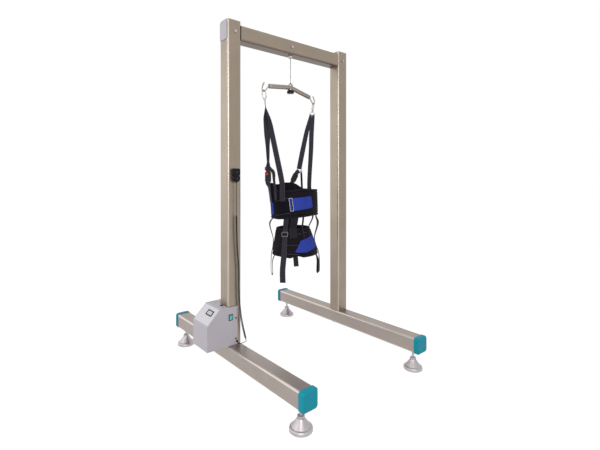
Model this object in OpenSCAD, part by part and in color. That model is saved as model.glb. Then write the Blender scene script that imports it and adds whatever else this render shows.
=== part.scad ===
// Body weight support system: a free-standing gantry with an electric hoist, a spreader bar
// and a walking harness. The origin is on the floor under the middle of the gantry.
// +X runs from the motor upright to the far upright, +Z is up. Millimetres.

/* [Gantry] */
// Width of the square tube of the gantry
tube = 100; // [96:1:104]
// Corner radius of the square tube
tube_round = 14; // [10:1:18]
// Wall of the square tube
tube_wall = 4; // [3:0.5:5]
// Distance between the centres of the two uprights
post_pitch = 1000; // [960:10:1200]
// Height of the top of the uprights above the floor
gantry_h = 2300; // [2270:10:2400]
// Depth of the cross beam's top below the top of the uprights
beam_drop = 20; // [15:1:30]
// Height of the foot beams' underside above the floor
foot_clear = 130; // [120:1:134]
// Reach of a foot beam in front of its upright's centre
foot_front = 775; // [700:5:850]
// Reach of a foot beam behind its upright's centre
foot_back = 745; // [680:5:820]
// Length of an end cap along the foot beam
cap_len = 34; // [28:1:40]
// How far an end cap stands proud of the tube
cap_proud = 4; // [3:0.5:5]
// Bevel round the face of an end cap
cap_bevel = 8; // [5:0.5:10]

/* [Levelling feet] */
// Radius of a foot pad
pad_r = 62; // [50:1:70]
// Distance of a foot's stem from the beam's end
pad_inset = 75; // [72:1:90]
// Height of the pad's rounded rim
pad_rim_h = 24; // [20:1:28]
// Height of the pad's cone
pad_cone_h = 66; // [60:1:70]
// Radius of the threaded stem
stem_r = 8; // [6:0.5:9]
// Length of the threaded stem above the cone
stem_len = 120; // [110:1:130]

/* [Hoist] */
// Radius of the lifting cable
cable_r = 3; // [2:0.25:3.5]
// Radius of the cable's path round a pulley
pulley_r = 26; // [24:0.5:28]
// Height of the pulley axles below the cross beam's top
axle_drop = 50; // [48:1:52]
// Distance of the cable inside the motor upright from its centre
cable_inset = 22; // [20:0.5:23]
// Radius of the cable's path round the winch drum
drum_r = 36; // [32:0.5:40]
// Height of the winch drum's axis above the floor
drum_z = 330; // [320:1:345]
// Width of the drum between its flanges
drum_w = 50; // [40:1:54]
// Radius of the winch shaft
shaft_r = 5.5; // [4:0.5:6]

/* [Motor box] */
// Reach of the motor box from the upright's centre
box_reach = 194; // [190:1:210]
// Height of the box
box_h = 244; // [240:1:256]
// Depth of the box behind the upright
box_back = 87; // [85:1:100]
// Rise of the sloping control face
slope_rise = 90; // [80:1:95]
// Sheet thickness of the box
sheet = 2.5; // [1.5:0.25:3]

/* [Spreader] */
// Distance from the middle of the spreader to the end of an arm
arm_len = 235; // [215:1:255]
// Diameter of the spreader's arms
arm_d = 32; // [28:1:34]
// Droop of the arms
arm_droop = 8; // [5:0.5:10]
// Distance of the spreader's middle below the top of the gantry
spreader_drop = 349; // [340:1:400]
// Diameter of the hook wire
hook_wire = 9; // [7:0.5:10]
// Turn of the spreader about the cable
spreader_turn = 12.5; // [0:0.5:30]

/* [Harness] */
// Half width of the vest
vest_a = 188; // [180:1:194]
// Half depth of the vest
vest_b = 163; // [156:1:168]
// Thickness of the padding
pad_t = 14; // [10:1:16]
// Width of the suspension webbing
web_w = 40; // [30:1:44]
// Thickness of the webbing
web_t = 2; // [1.5:0.25:2.5]

/* [Handset] */
// Height of the handset's middle above the floor
handset_z = 1308; // [1200:1:1320]
// Width of the handset
handset_w = 50; // [46:1:54]
// Depth of the handset
handset_d = 24; // [20:1:28]

/* [Hidden] */
$fn = 48;

// Clearances
slip = 0.3;
run_fit = 0.05;
bolt_fit = 0.25;

// Gantry places
mid_x = (box_reach - tube / 2 - cap_proud) / 2;
post_y = (foot_front - foot_back) / 2;
motor_x = mid_x - post_pitch / 2;
far_x = mid_x + post_pitch / 2;
foot_top = foot_clear + tube;
beam_top = gantry_h - beam_drop;
beam_z = beam_top - tube / 2;
inner = tube - 2 * tube_wall;
front_y = post_y - tube / 2;
back_y = post_y + tube / 2;
plate_t = 6;
cap_face = 5;
bolt_r = 6;
head_r = 10;
head_h = 7;

// Hoist places
axle_z = beam_top - axle_drop;
axle_r = 6;
pulley_out = pulley_r + 5;
pulley_w = 16;
cable_x = motor_x - cable_inset;
corner_x = cable_x + pulley_r;
centre_x = mid_x - pulley_r;
cable_top = axle_z + pulley_r;
drum_x = cable_x - drum_r;
flange_r = drum_r + 10;
flange_t = 3;
window_h = 2 * flange_r + 12;
window_w = drum_w + 2 * flange_t + 6;
bush_flange = 15;
bush_bottom = beam_top - tube - bush_flange;
bush_r = 10;
cable_slip = 0.3;

// Motor box places
box_x = motor_x - box_reach;
box_edge = motor_x + 19;
box_z = foot_top + 1;
box_top = box_z + box_h;
box_front = front_y - 6;
box_rear = back_y + box_back;
slope_z = box_top - slope_rise;
slope_len = slope_rise * sqrt(2);
base_t = 3;
base_z = foot_top;
base_top = base_z + base_t;
rocker_x = motor_x - 31.5;
rocker_z = box_top - 65;
rocker_w = 20;
rocker_h = 28;
rocker_tilt = 5;
screw_x = motor_x + 6;
screw_high = box_top - 76;
screw_low = box_z + 38;
gear_y = back_y + 7;
gear_w = 120;
gear_d = 68;
gear_h = 100;
motor_r = 32;
motor_gap = 12;
motor_len = box_reach - gear_w - motor_gap;
bracket_t = 8;
drum_side = drum_w / 2 + flange_t + 5;

// Spreader places
spreader_z = gantry_h - spreader_drop;
hub_r = 17;
hub_h = arm_d / 2 + 24;
hub_top = spreader_z + 20;
cap_top = hub_top - hub_h - slip;
swivel_r = 8;
ferrule_len = 12;
arm_end_z = spreader_z - arm_len * tan(arm_droop);
hook_r = hook_wire / 2;
hook_bend_r = 16;
hook_lead = 57.5;
hook_x = arm_len + 54;
hook_mid_z = arm_end_z - 29;
hook_low = hook_mid_z - hook_bend_r;
tip_bend_r = 80;

// Snap hook places
snap_wire = 3;
snap_r = 12;
snap_len = 34;
snap_slip = 1.4;
snap_top = hook_low + hook_r + snap_slip - (snap_r - snap_wire);
snap_low = snap_top - snap_len;
gate_z = snap_low + 3;
gate_top = snap_top - 3;
barrel_r = 7;
barrel_low = snap_low - snap_r - 13;
ring_wire = 2.5;
ring_z = barrel_low - 3.5;
ring_base_z = ring_z - 21;
web_top = ring_base_z - ring_wire;
left_snap_turn = -65;
right_snap_turn = 65;
left_ring_turn = 37;
right_ring_turn = -53;
// the webbing's pull tilts the snaps and rings towards the middle
snap_tilt = 10;

// Harness shape, in the spreader's own frame: centre, half width, half depth and height. Its
// heights are written for one height of the spreader, and the harness moves with the spreader
written_z = 1951;
harness_shift = spreader_z - written_z;
vest_mid = [19, -25];
vest_sides = 48;
vest_top = [[-180, 1198], [-150, 1204], [-121, 1215], [-80, 1209], [-20, 1207], [20, 1211],
            [35, 1240], [48, 1256], [68, 1256], [90, 1244], [120, 1244], [142, 1256],
            [166, 1256], [174, 1222], [180, 1198]];
vest_foot = [[-180, 1004], [-135, 1016], [-86, 1026], [0, 1020], [90, 1010], [180, 1004]];
vest_lean = [[-180, 8], [-150, 0], [-70, 0], [-25, -18], [20, -18], [60, 0], [110, 0],
             [140, 20], [160, 26], [180, 8]];
belt_top_mid = [11, -15];
belt_low_mid = [21, -28];
belt_top_a = 135;
belt_top_b = 115;
belt_low_a = 183;
belt_low_b = 158;
belt_top_z = 934;
belt_low_z = 745;
belt_sides = 40;
belt_foot = [[-180, 746], [-150, 738], [-133, 754], [-117, 740], [0, 744], [180, 746]];
panel_t = 1.5;
slide_t = 3;
slide_wire = 3;
slide_tilt = 8;
buckle_size = [42, 71, 16];
buckle_at = [-200, 40, 1263];
buckle_top = buckle_at + [0, 0, buckle_size[1]];
grip_top = [186, 88, 1326];
grip_low = [153, 101, 1262];
slide_at = [204, 75, 1349];
button_r = 9.5;
button_x = -8;
button_drop = 14;

// Handset and cord places
handset_x = motor_x + 1;
holder_t = 6;
handset_back = front_y - holder_t - slip;
handset_front = handset_back - handset_d;
handset_h = 86;
lobe_r = 24;
key_r = 7.5;
key_travel = 1.5;
cord_r = 2;
cord_x = -428;
cord_y = -53;
curl_r = 4.75;
curls = 60;
curl_rings = 8;
cord_sides = 6;
curl_path = [[-428, -53, 1057], [-424, -52, 880], [-411, -51, 705], [-410, -51, 577],
             [-398, -53, 430], [-380, -56, 330], [-360, -58, 250]];
gland_at = [box_edge - 7, box_front - 8, box_z + 19];
tail_path = [[-360, -58.5, 248.5], [-360, -61, 243], [-366, -64, 240], [-380, -66, 239],
             [-398, -67, 239], [-411, -65, 240], gland_at + [0.4, -9, 0], gland_at - [0, 0.5, 0]];
gland_r = 6;

// Colours
steel = [0.74, 0.70, 0.68];
bright = [0.86, 0.86, 0.87];
teal = [0.16, 0.54, 0.60];
paint = [0.80, 0.80, 0.84];
black = [0.12, 0.11, 0.13];
white = [0.92, 0.92, 0.90];
blue = [0.20, 0.27, 0.65];

// A square with exact round corners
module rounded_square(w, h, r) {
    square([w - 2 * r, h], center = true);
    square([w, h - 2 * r], center = true);
    for (x = [-1, 1], y = [-1, 1])
        translate([x * (w / 2 - r), y * (h / 2 - r)]) circle(r);
}

// The gantry's square tube along +Z
module square_tube(length) {
    linear_extrude(length) difference() {
        rounded_square(tube, tube, tube_round);
        rounded_square(inner, inner, tube_round - tube_wall);
    }
}

// A cylinder along +Y from y1 to y2
module rod_y(x, y1, y2, z, r) {
    translate([x, y1, z]) rotate([-90, 0, 0]) cylinder(r = r, h = y2 - y1);
}

// A six-sided bolt head along +Y
module hex_y(x, y, z, r, h) {
    translate([x, y, z]) rotate([-90, 0, 0]) cylinder(r = r, h = h, $fn = 6);
}

// Puts its children on the upright's centre line at post_x
module at_post(post_x) {
    translate([post_x, post_y, 0]) children();
}

// Turns its children with the spreader about the cable
module hang(shift = 0) {
    translate([mid_x, post_y, shift]) rotate([0, 0, spreader_turn]) children();
}

// Vector helpers
function unit(v) = v / norm(v);
function across(t, ref) = unit(ref - (ref * t) * t);
function tube_ring(c, t, ref, r, sides) =
    let (u = across(t, ref), v = cross(t, u))
    [for (i = [0:sides - 1]) c + r * (cos(360 * i / sides) * u + sin(360 * i / sides) * v)];
function along(p, i) = unit(p[min(i + 1, len(p) - 1)] - p[max(i - 1, 0)]);

// Triangles between rings of equal size that follow each other
function skin(rings, sides) =
    [for (i = [0:rings - 2], j = [0:sides - 1], half = [0, 1])
        let (a = i * sides + j, b = i * sides + (j + 1) % sides)
        half == 0 ? [a, b, b + sides] : [a, b + sides, a + sides]];
function end_fan(start, sides, back) =
    [for (j = [1:sides - 2]) back ? [start, start + j + 1, start + j] : [start, start + j, start + j + 1]];

// The same for flat rings of four points, with the same diagonal on both broad sides
function flat_skin(rings) =
    [for (i = [0:rings - 2], j = [0:3], half = [0, 1])
        let (a = i * 4 + j, b = i * 4 + (j + 1) % 4)
        j == 2 ? (half == 0 ? [a, b, a + 4] : [b, b + 4, a + 4])
               : (half == 0 ? [a, b, b + 4] : [a, b + 4, a + 4])];

// A tube of radius r along the points, with one reference direction for each ring
module swept_tube(points, refs, r, sides) {
    n = len(points);
    rings = [for (i = [0:n - 1]) tube_ring(points[i], along(points, i), refs[i], r, sides)];
    polyhedron(points = [for (ring = rings, p = ring) p],
               faces = concat(skin(n, sides), end_fan(0, sides, true),
                              end_fan((n - 1) * sides, sides, false)));
}

// A flat ribbon along the points: width and the width's direction in plan at each point
module ribbon(points, widths, turns, t) {
    n = len(points);
    rings = [for (i = [0:n - 1])
        let (d = along(points, i), w = across(d, [cos(turns[i]), sin(turns[i]), 0]), s = cross(d, w))
        [points[i] + w * widths[i] / 2 + s * t / 2, points[i] - w * widths[i] / 2 + s * t / 2,
         points[i] - w * widths[i] / 2 - s * t / 2, points[i] + w * widths[i] / 2 - s * t / 2]];
    polyhedron(points = [for (ring = rings, p = ring) hung(p)],
               faces = concat(flat_skin(n), end_fan(0, 4, true), end_fan((n - 1) * 4, 4, false)));
}

// A point of the harness in the gantry's frame, to a thousandth of a millimetre
function hung(p) =
    [round((mid_x + p[0] * cos(spreader_turn) - p[1] * sin(spreader_turn)) * 1000) / 1000,
     round((post_y + p[0] * sin(spreader_turn) + p[1] * cos(spreader_turn)) * 1000) / 1000,
     round((p[2] + harness_shift) * 1000) / 1000];

// Gantry

// Rectangular opening in an upright's left wall
module wall_window(z, w, h) {
    translate([-tube / 2 - 1, -w / 2, z - h / 2]) cube([tube_wall + 2, w, h]);
}

module motor_upright() {
    color(steel) at_post(motor_x) difference() {
        union() {
            translate([0, 0, foot_top]) square_tube(gantry_h - plate_t - foot_top);
            translate([0, 0, gantry_h - plate_t]) linear_extrude(plate_t)
                rounded_square(tube, tube, tube_round);
            translate([0, 0, foot_top]) linear_extrude(plate_t)
                rounded_square(inner, inner, tube_round - tube_wall);
        }
        // window for the winch drum
        wall_window(drum_z, window_w, window_h);
        // window for the corner pulley
        wall_window(axle_z, 60, 84);
        // hole for the cable into the beam
        translate([0, 0, cable_top]) rotate([0, 90, 0]) cylinder(r = cable_r + 5, h = tube);
        // axle holes
        rod_y(corner_x - motor_x, -tube, tube, axle_z, axle_r + run_fit);
        // foot bolts
        for (x = [-1, 1])
            translate([x * 25, 25, foot_top - 1]) cylinder(r = bolt_r + bolt_fit, h = plate_t + 2);
        // opening behind the power switch
        translate([rocker_x - motor_x - 13, -tube / 2 - 1, rocker_z - 17])
            cube([26, tube_wall + tube_round, 34]);
        // holes for the box screws
        for (z = [screw_high, screw_low])
            rod_y(screw_x - motor_x, -tube / 2 - 1, -tube / 2 + tube_wall + 1, z, 2.7);
    }
}

module far_upright() {
    color(steel) at_post(far_x) difference() {
        union() {
            translate([0, 0, foot_top]) square_tube(gantry_h - plate_t - foot_top);
            translate([0, 0, gantry_h - plate_t]) linear_extrude(plate_t)
                rounded_square(tube, tube, tube_round);
            translate([0, 0, foot_top]) linear_extrude(plate_t)
                rounded_square(inner, inner, tube_round - tube_wall);
        }
        rod_y(0, -tube, tube, axle_z, bolt_r + bolt_fit);
        for (x = [-1, 1])
            translate([x * 25, 25, foot_top - 1]) cylinder(r = bolt_r + bolt_fit, h = plate_t + 2);
    }
}

module top_beam() {
    color(steel) difference() {
        translate([motor_x + tube / 2, post_y, beam_z]) rotate([0, 90, 0])
            square_tube(post_pitch - tube);
        rod_y(centre_x, front_y - 1, back_y + 1, axle_z, axle_r + run_fit);
        translate([mid_x, post_y, beam_top - tube - 1]) cylinder(r = bush_r + 0.1, h = tube_wall + 2);
    }
}

// A foot beam along Y with the holes for its feet and its upright
module foot_beam(x) {
    y_front = post_y - foot_front + cap_face;
    y_back = post_y + foot_back - cap_face;
    difference() {
        translate([x, y_front, foot_clear + tube / 2]) rotate([-90, 0, 0]) square_tube(y_back - y_front);
        for (y = [post_y - foot_front + pad_inset, post_y + foot_back - pad_inset])
            translate([x, y, foot_clear - 1]) cylinder(r = 14 + run_fit, h = tube_wall + 2);
        for (side = [-1, 1])
            translate([x + side * 25, post_y + 25, foot_clear - 1])
                cylinder(r = bolt_r + bolt_fit, h = tube + 2);
    }
    // threaded inserts that carry the feet
    for (y = [post_y - foot_front + pad_inset, post_y + foot_back - pad_inset])
        translate([x, y, foot_clear]) difference() {
            union() {
                cylinder(r = 14, h = 22);
                translate([0, 0, tube_wall]) cylinder(r = 18, h = 3);
            }
            translate([0, 0, -1]) cylinder(r = stem_r + run_fit, h = 24);
        }
}

module motor_foot_beam() { color(steel) foot_beam(motor_x); }
module far_foot_beam() { color(steel) foot_beam(far_x); }

// An end cap that slips over a foot beam and faces along side (-1 front, 1 back)
module end_cap(x, y, side) {
    w = tube + 2 * cap_proud;
    translate([x, y, foot_clear + tube / 2]) rotate([side * 90, 0, 0]) difference() {
        union() {
            translate([0, 0, cap_bevel]) linear_extrude(cap_len - cap_bevel)
                rounded_square(w, w, tube_round + cap_proud);
            hull() {
                translate([0, 0, cap_bevel - 0.5]) linear_extrude(0.5)
                    rounded_square(w, w, tube_round + cap_proud, $fn = 32);
                linear_extrude(0.5)
                    rounded_square(w - 2 * cap_bevel, w - 2 * cap_bevel, tube_round, $fn = 32);
            }
        }
        translate([0, 0, cap_face]) linear_extrude(cap_len)
            rounded_square(tube + 0.2, tube + 0.2, tube_round + 0.1);
    }
}

module motor_front_cap() { color(teal) end_cap(motor_x, post_y - foot_front, -1); }
module motor_back_cap() { color(teal) end_cap(motor_x, post_y + foot_back, 1); }
module far_front_cap() { color(teal) end_cap(far_x, post_y - foot_front, -1); }
module far_back_cap() { color(teal) end_cap(far_x, post_y + foot_back, 1); }

module frame_bolts() {
    color(bright) {
        // bolt through the far upright into the beam's end plate
        rod_y(far_x, front_y - head_h, back_y + head_h, axle_z, bolt_r);
        hex_y(far_x, front_y - head_h, axle_z, head_r, head_h);
        hex_y(far_x, back_y, axle_z, head_r, head_h);
        // bolts that hold the uprights on the foot beams
        for (x = [motor_x, far_x], side = [-1, 1])
            translate([x + side * 25, post_y + 25, foot_clear - head_h]) {
                cylinder(r = head_r, h = head_h, $fn = 6);
                cylinder(r = bolt_r, h = head_h + tube + plate_t + head_h);
                translate([0, 0, head_h + tube + plate_t]) cylinder(r = head_r, h = head_h, $fn = 6);
            }
    }
}

// A levelling foot: rounded pad with a hollow-sided cone, a hexagon and a threaded stem
module levelling_foot(x, y) {
    steps = 6;
    neck = 21;
    collar_h = 12;
    rim = [for (i = [0:steps])
        let (a = 90 * i / steps)
        [pad_r - 10 + 10 * cos(a), pad_rim_h - 12 + 12 * sin(a)]];
    cone = [for (i = [0:steps])
        let (t = i / steps)
        [neck + (pad_r - 12 - neck) * pow(1 - t, 1.15), pad_rim_h + 2 + (pad_cone_h - pad_rim_h - 2) * t]];
    translate([x, y, 0]) {
        rotate_extrude() polygon(concat([[0, 0], [pad_r - 3, 0], [pad_r, 3]], rim, cone, [[0, pad_cone_h]]));
        translate([0, 0, pad_cone_h]) cylinder(r = neck, h = collar_h, $fn = 6);
        translate([0, 0, pad_cone_h + collar_h]) cylinder(r = stem_r, h = stem_len - collar_h);
    }
}

foot_y1 = post_y - foot_front + pad_inset;
foot_y2 = post_y + foot_back - pad_inset;
module motor_front_foot() { color(bright) levelling_foot(motor_x, foot_y1); }
module motor_back_foot() { color(bright) levelling_foot(motor_x, foot_y2); }
module far_front_foot() { color(bright) levelling_foot(far_x, foot_y1); }
module far_back_foot() { color(bright) levelling_foot(far_x, foot_y2); }

// Hoist

// An axle bolt through the tube with a spacer on each side of its pulley
module axle(x) {
    rod_y(x, front_y - head_h, back_y + head_h, axle_z, axle_r);
    hex_y(x, front_y - head_h, axle_z, head_r + 1, head_h);
    hex_y(x, back_y, axle_z, head_r + 1, head_h);
    for (side = [-1, 1])
        translate([x, post_y + side * (pulley_w / 2 + slip), axle_z]) rotate([-side * 90, 0, 0])
            difference() {
                cylinder(r = 10, h = inner / 2 - pulley_w / 2 - slip);
                translate([0, 0, -1]) cylinder(r = axle_r + bolt_fit, h = inner);
            }
}

module corner_axle() { color(bright) axle(corner_x); }
module centre_axle() { color(bright) axle(centre_x); }

// A grooved pulley on its axle
module pulley(x) {
    groove = cable_r + cable_slip;
    translate([x, post_y, axle_z]) rotate([90, 0, 0]) rotate_extrude() difference() {
        translate([axle_r + run_fit, -pulley_w / 2]) square([pulley_out - axle_r - run_fit, pulley_w]);
        translate([pulley_r, 0]) circle(groove);
        translate([pulley_r, -groove]) square([20, 2 * groove]);
        for (side = [-1, 1])
            translate([12, side * pulley_w / 2 - 3]) square([8, 6]);
    }
}

module corner_pulley() { color(white) pulley(corner_x); }
module centre_pulley() { color(white) pulley(centre_x); }

module pulley_cover() {
    w = 84;
    low = beam_top - 108;
    high = gantry_h - 7;
    color(paint) translate([motor_x - tube / 2, post_y, (low + high) / 2]) rotate([0, -90, 0]) {
        linear_extrude(4) rounded_square(high - low, w, 10);
        translate([0, 0, 4]) linear_extrude(1.5) rounded_square(high - low - 6, w - 6, 8);
    }
}

module cable_bush() {
    color(white) translate([mid_x, post_y, bush_bottom]) difference() {
        union() {
            cylinder(r = bush_r + 5, h = bush_flange);
            cylinder(r = bush_r, h = bush_flange + tube_wall + 4);
        }
        translate([0, 0, -1]) cylinder(r = cable_r + 0.8, h = bush_flange + tube_wall + 10);
    }
}

// The cable from the drum up the upright, along the beam and down to the bush
module lift_cable_run() {
    wound = drum_r + cable_r + slip;
    start_z = drum_z + sqrt(wound * wound - pow(drum_r - cable_r, 2)) + 1;
    color(bright) {
        // the length inside the post stops a hair below the bend
        translate([cable_x, post_y, start_z]) rotate([0, 0, 45])
            cylinder(r = cable_r, h = axle_z - start_z - slip);
        translate([corner_x, post_y, axle_z]) rotate([90, 0, 0]) rotate([0, 0, 90])
            rotate_extrude(angle = 90) translate([pulley_r, 0]) circle(cable_r);
        translate([corner_x, post_y, cable_top]) rotate([0, 90, 0])
            cylinder(r = cable_r, h = centre_x - corner_x);
        translate([centre_x, post_y, axle_z]) rotate([90, 0, 0])
            rotate_extrude(angle = 90) translate([pulley_r, 0]) circle(cable_r);
        translate([mid_x, post_y, bush_bottom]) cylinder(r = cable_r, h = axle_z - bush_bottom);
    }
}

module lift_cable_drop() {
    low = hub_top + ferrule_len;
    color(bright) translate([mid_x, post_y, low]) cylinder(r = cable_r, h = bush_bottom - low);
}

module winch_drum() {
    color(bright) {
        rod_y(drum_x, post_y - drum_side - bracket_t - 2, gear_y + 26, drum_z, shaft_r);
        rod_y(drum_x, post_y - drum_w / 2, post_y + drum_w / 2, drum_z, drum_r + cable_r);
        for (side = [-1, 1]) {
            y = post_y + side * (drum_w + flange_t) / 2;
            rod_y(drum_x, y - flange_t / 2, y + flange_t / 2, drum_z, flange_r);
        }
    }
}

// Two upright plates that carry the winch shaft
module drum_brackets() {
    color(paint) for (side = [-1, 1]) {
        y = side < 0 ? post_y - drum_side - bracket_t : post_y + drum_side;
        difference() {
            union() {
                translate([drum_x - 40, y, base_top])
                    cube([45, bracket_t, drum_z - base_top]);
                rod_y(drum_x - 8, y, y + bracket_t, drum_z, 14);
            }
            rod_y(drum_x, y - 1, y + bracket_t + 1, drum_z, shaft_r + run_fit);
            translate([motor_x - tube / 2 - 1, y - 1, base_top]) cube([60, bracket_t + 2, 200]);
        }
    }
}

module gearbox() {
    color([0.45, 0.46, 0.48]) difference() {
        union() {
            translate([motor_x - gear_w, gear_y, drum_z - gear_h / 2]) cube([gear_w, gear_d, gear_h]);
            translate([motor_x - gear_w + 10, gear_y + 6, base_top])
                cube([gear_w - 20, gear_d - 12, gear_h / 2]);
        }
        rod_y(drum_x, gear_y - 1, gear_y + 28, drum_z, shaft_r + run_fit);
    }
}

module hoist_motor() {
    color(black) translate([motor_x - gear_w, gear_y + gear_d / 2, drum_z]) rotate([0, -90, 0]) {
        cylinder(r = motor_r, h = motor_len - 6);
        translate([0, 0, motor_len - 6]) cylinder(r = motor_r - 5, h = 6);
    }
}

// Motor box

// The box's outline seen along Y, drawn in by d
module box_outline(d) {
    k = d * (sqrt(2) - 1);
    polygon([[box_x + d, box_z - 1], [box_edge - d, box_z - 1], [box_edge - d, box_top - d],
             [box_x + slope_rise + k, box_top - d], [box_x + d, slope_z - k]]);
}

module motor_cover() {
    color(paint) difference() {
        intersection() {
            translate([0, box_rear, 0]) rotate([90, 0, 0]) linear_extrude(box_rear - box_front)
                box_outline(0);
            translate([box_x - 1, box_front - 1, box_z]) cube([400, 400, 400]);
        }
        translate([0, box_rear - sheet, 0]) rotate([90, 0, 0])
            linear_extrude(box_rear - box_front - 2 * sheet) box_outline(sheet);
        // the upright stands in the open corner
        translate([motor_x - tube / 2 - slip, box_front + sheet, box_z - 1])
            cube([tube, tube + back_y - post_y - tube / 2 + 6 - sheet + slip, box_h + 2]);
        // switch opening
        translate([rocker_x - 13, box_front - 1, rocker_z - 17]) cube([26, sheet + 2, 34]);
        // screw holes
        for (z = [screw_high, screw_low])
            rod_y(screw_x, box_front - 1, box_front + sheet + 1, z, 2.7);
        // hole for the handset cord
        rod_y(gland_at[0], box_front - 1, box_front + sheet + 1, gland_at[2], 4.2);
        // mains inlet
        translate([motor_x - 160, box_rear - sheet - 1, box_z + 22]) cube([28, sheet + 2, 20]);
        // vents in the rear
        for (i = [0:6])
            translate([motor_x - 100 + 12 * i, box_rear - sheet - 1, box_z + 30])
                cube([5, sheet + 2, 60]);
    }
}

module motor_base_plate() {
    in_x = box_x + sheet;
    in_front = box_front + sheet;
    in_back = box_rear - sheet;
    color(paint) difference() {
        translate([in_x, in_front, base_z]) cube([box_edge - sheet - in_x, in_back - in_front, base_t]);
        translate([motor_x - tube / 2 - slip, in_front - 1, base_z - 1])
            cube([tube + 20, back_y - in_front + 1 + slip, base_t + 2]);
        rod_y(gland_at[0], box_front - 1, box_front + 20, gland_at[2], 6);
    }
}

// Puts its children on the sloping face: local X up the slope, local Z outwards
module on_slope() {
    translate([box_x + slope_rise / 2, 0, slope_z + slope_rise / 2]) rotate([0, -45, 0]) children();
}

panel_y = (box_front + box_rear) / 2;
screen_y = post_y + 17;
screen_up = 17;
module control_panel() {
    color(white) on_slope() difference() {
        translate([0, panel_y, 0]) linear_extrude(panel_t)
            rounded_square(slope_len - 14, box_rear - box_front - 14, 4);
        translate([screen_up, screen_y, -1]) linear_extrude(panel_t + 2) rounded_square(36.2, 70.2, 3);
    }
}

module display_frame() {
    color(black) on_slope() translate([screen_up, screen_y, 0]) linear_extrude(4) difference() {
        rounded_square(36, 70, 3);
        rounded_square(24, 56, 1.5);
    }
}

module display_glass() {
    color([0.78, 0.79, 0.80]) on_slope() translate([screen_up, screen_y, 0])
        linear_extrude(3) rounded_square(23.8, 55.8, 1.4);
}

module cover_screws() {
    color(black) {
        for (z = [screw_high, screw_low]) {
            rod_y(screw_x, box_front - 3, box_front, z, 5);
            rod_y(screw_x, box_front - 1, front_y + tube_wall + 4, z, 2.5);
        }
        translate([motor_x - 61, post_y + 9, box_top]) {
            cylinder(r = 8, h = 3);
            translate([0, 0, 3]) cylinder(r1 = 8, r2 = 5, h = 2);
        }
    }
}

module rocker_frame() {
    color(black) difference() {
        union() {
            translate([rocker_x - 14.5, box_front - 2, rocker_z - 19]) cube([29, 2, 38]);
            translate([rocker_x - 12.8, box_front - 1, rocker_z - 16.8]) cube([25.6, 22, 33.6]);
        }
        translate([rocker_x - rocker_w / 2 - slip, box_front - 3, rocker_z - rocker_h / 2 - 1.2])
            cube([rocker_w + 2 * slip, 19, rocker_h + 2.4]);
        rod_x(rocker_x - 12, rocker_x + 12, rocker_y, rocker_z, 1.5 + run_fit);
    }
}

rocker_y = box_front + 6;
// A cylinder along +X from x1 to x2
module rod_x(x1, x2, y, z, r) {
    translate([x1, y, z]) rotate([0, 90, 0]) cylinder(r = r, h = x2 - x1);
}

module power_rocker() {
    color([0.25, 0.85, 0.75]) {
        translate([rocker_x, rocker_y, rocker_z]) rotate([rocker_tilt, 0, 0])
            translate([-rocker_w / 2, -9.5, -rocker_h / 2]) cube([rocker_w, 14, rocker_h]);
        rod_x(rocker_x - 11.5, rocker_x + 11.5, rocker_y, rocker_z, 1.5);
    }
}

module control_board() {
    color([0.1, 0.4, 0.2]) {
        translate([motor_x - 184, post_y - 42, base_top + 8]) cube([66, 90, 1.6]);
        for (x = [-179, -123], y = [-37, 43])
            translate([motor_x + x, post_y + y, base_top]) cylinder(r = 3, h = 8);
        translate([motor_x - 172, post_y - 30, base_top + 9.6]) cube([22, 30, 18]);
    }
}

module mains_inlet() {
    color(black) translate([motor_x - 160, box_rear - 24, box_z + 22]) difference() {
        union() {
            translate([0.2, 0, 0.2]) cube([27.6, 24, 19.6]);
            translate([-2.5, 24, -2.5]) cube([33, 2, 25]);
        }
        translate([4, 10, 4]) cube([20, 20, 12]);
    }
}

// Handset

// Front view of the handset: rounded upper part over a round lower lobe
module handset_outline(d) {
    union() {
        translate([0, handset_h / 2 - 22]) rounded_square(handset_w - 2 * d, 44 - 2 * d, 12 - d);
        translate([0, -handset_h / 2 + lobe_r]) circle(lobe_r - d);
        square([handset_w - 12 - 2 * d, 24], center = true);
    }
}

module handset_holder() {
    color(black) translate([handset_x, front_y, handset_z]) rotate([90, 0, 0]) {
        linear_extrude(holder_t - 2) rounded_square(handset_w - 10, 70, 6);
        translate([0, 8, 0]) linear_extrude(holder_t + 4) rounded_square(12, 20, 3);
    }
}

module handset() {
    color(black) translate([handset_x, handset_back, handset_z]) rotate([90, 0, 0]) difference() {
        union() {
            linear_extrude(handset_d - 4) handset_outline(0);
            translate([0, 0, handset_d - 4]) linear_extrude(2.5) handset_outline(1.5);
            translate([0, 0, handset_d - 1.5]) linear_extrude(1.5) handset_outline(4);
            translate([0, -handset_h / 2 - 6, handset_back - cord_y]) rotate([-90, 0, 0])
                cylinder(r = 5, h = 12);
        }
        // slot that hangs on the holder's peg, open at the bottom
        translate([0, -8, -1]) linear_extrude(6) square([12.8, 53], center = true);
        for (y = [20, -20])
            translate([0, y, handset_d - 6]) cylinder(r = key_r + 0.3, h = 10);
    }
}

// A round key in the handset at height dy from its middle
module key(dy) {
    translate([handset_x, handset_front, handset_z + dy]) rotate([90, 0, 0]) {
        translate([0, 0, -6 + key_travel + slip]) cylinder(r = key_r, h = 6 - key_travel - slip + 1.5);
        translate([0, 0, 1.5]) cylinder(r1 = key_r, r2 = key_r - 1, h = 1);
    }
}

module up_button() { color(white) key(20); }
module down_button() { color(white) key(-20); }

module handset_lead() {
    top_z = handset_z - handset_h / 2 - 6;
    color(black) translate([cord_x, cord_y, curl_path[0][2] + slip])
        cylinder(r = cord_r, h = top_z - curl_path[0][2] - slip, $fn = 24);
}

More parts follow.
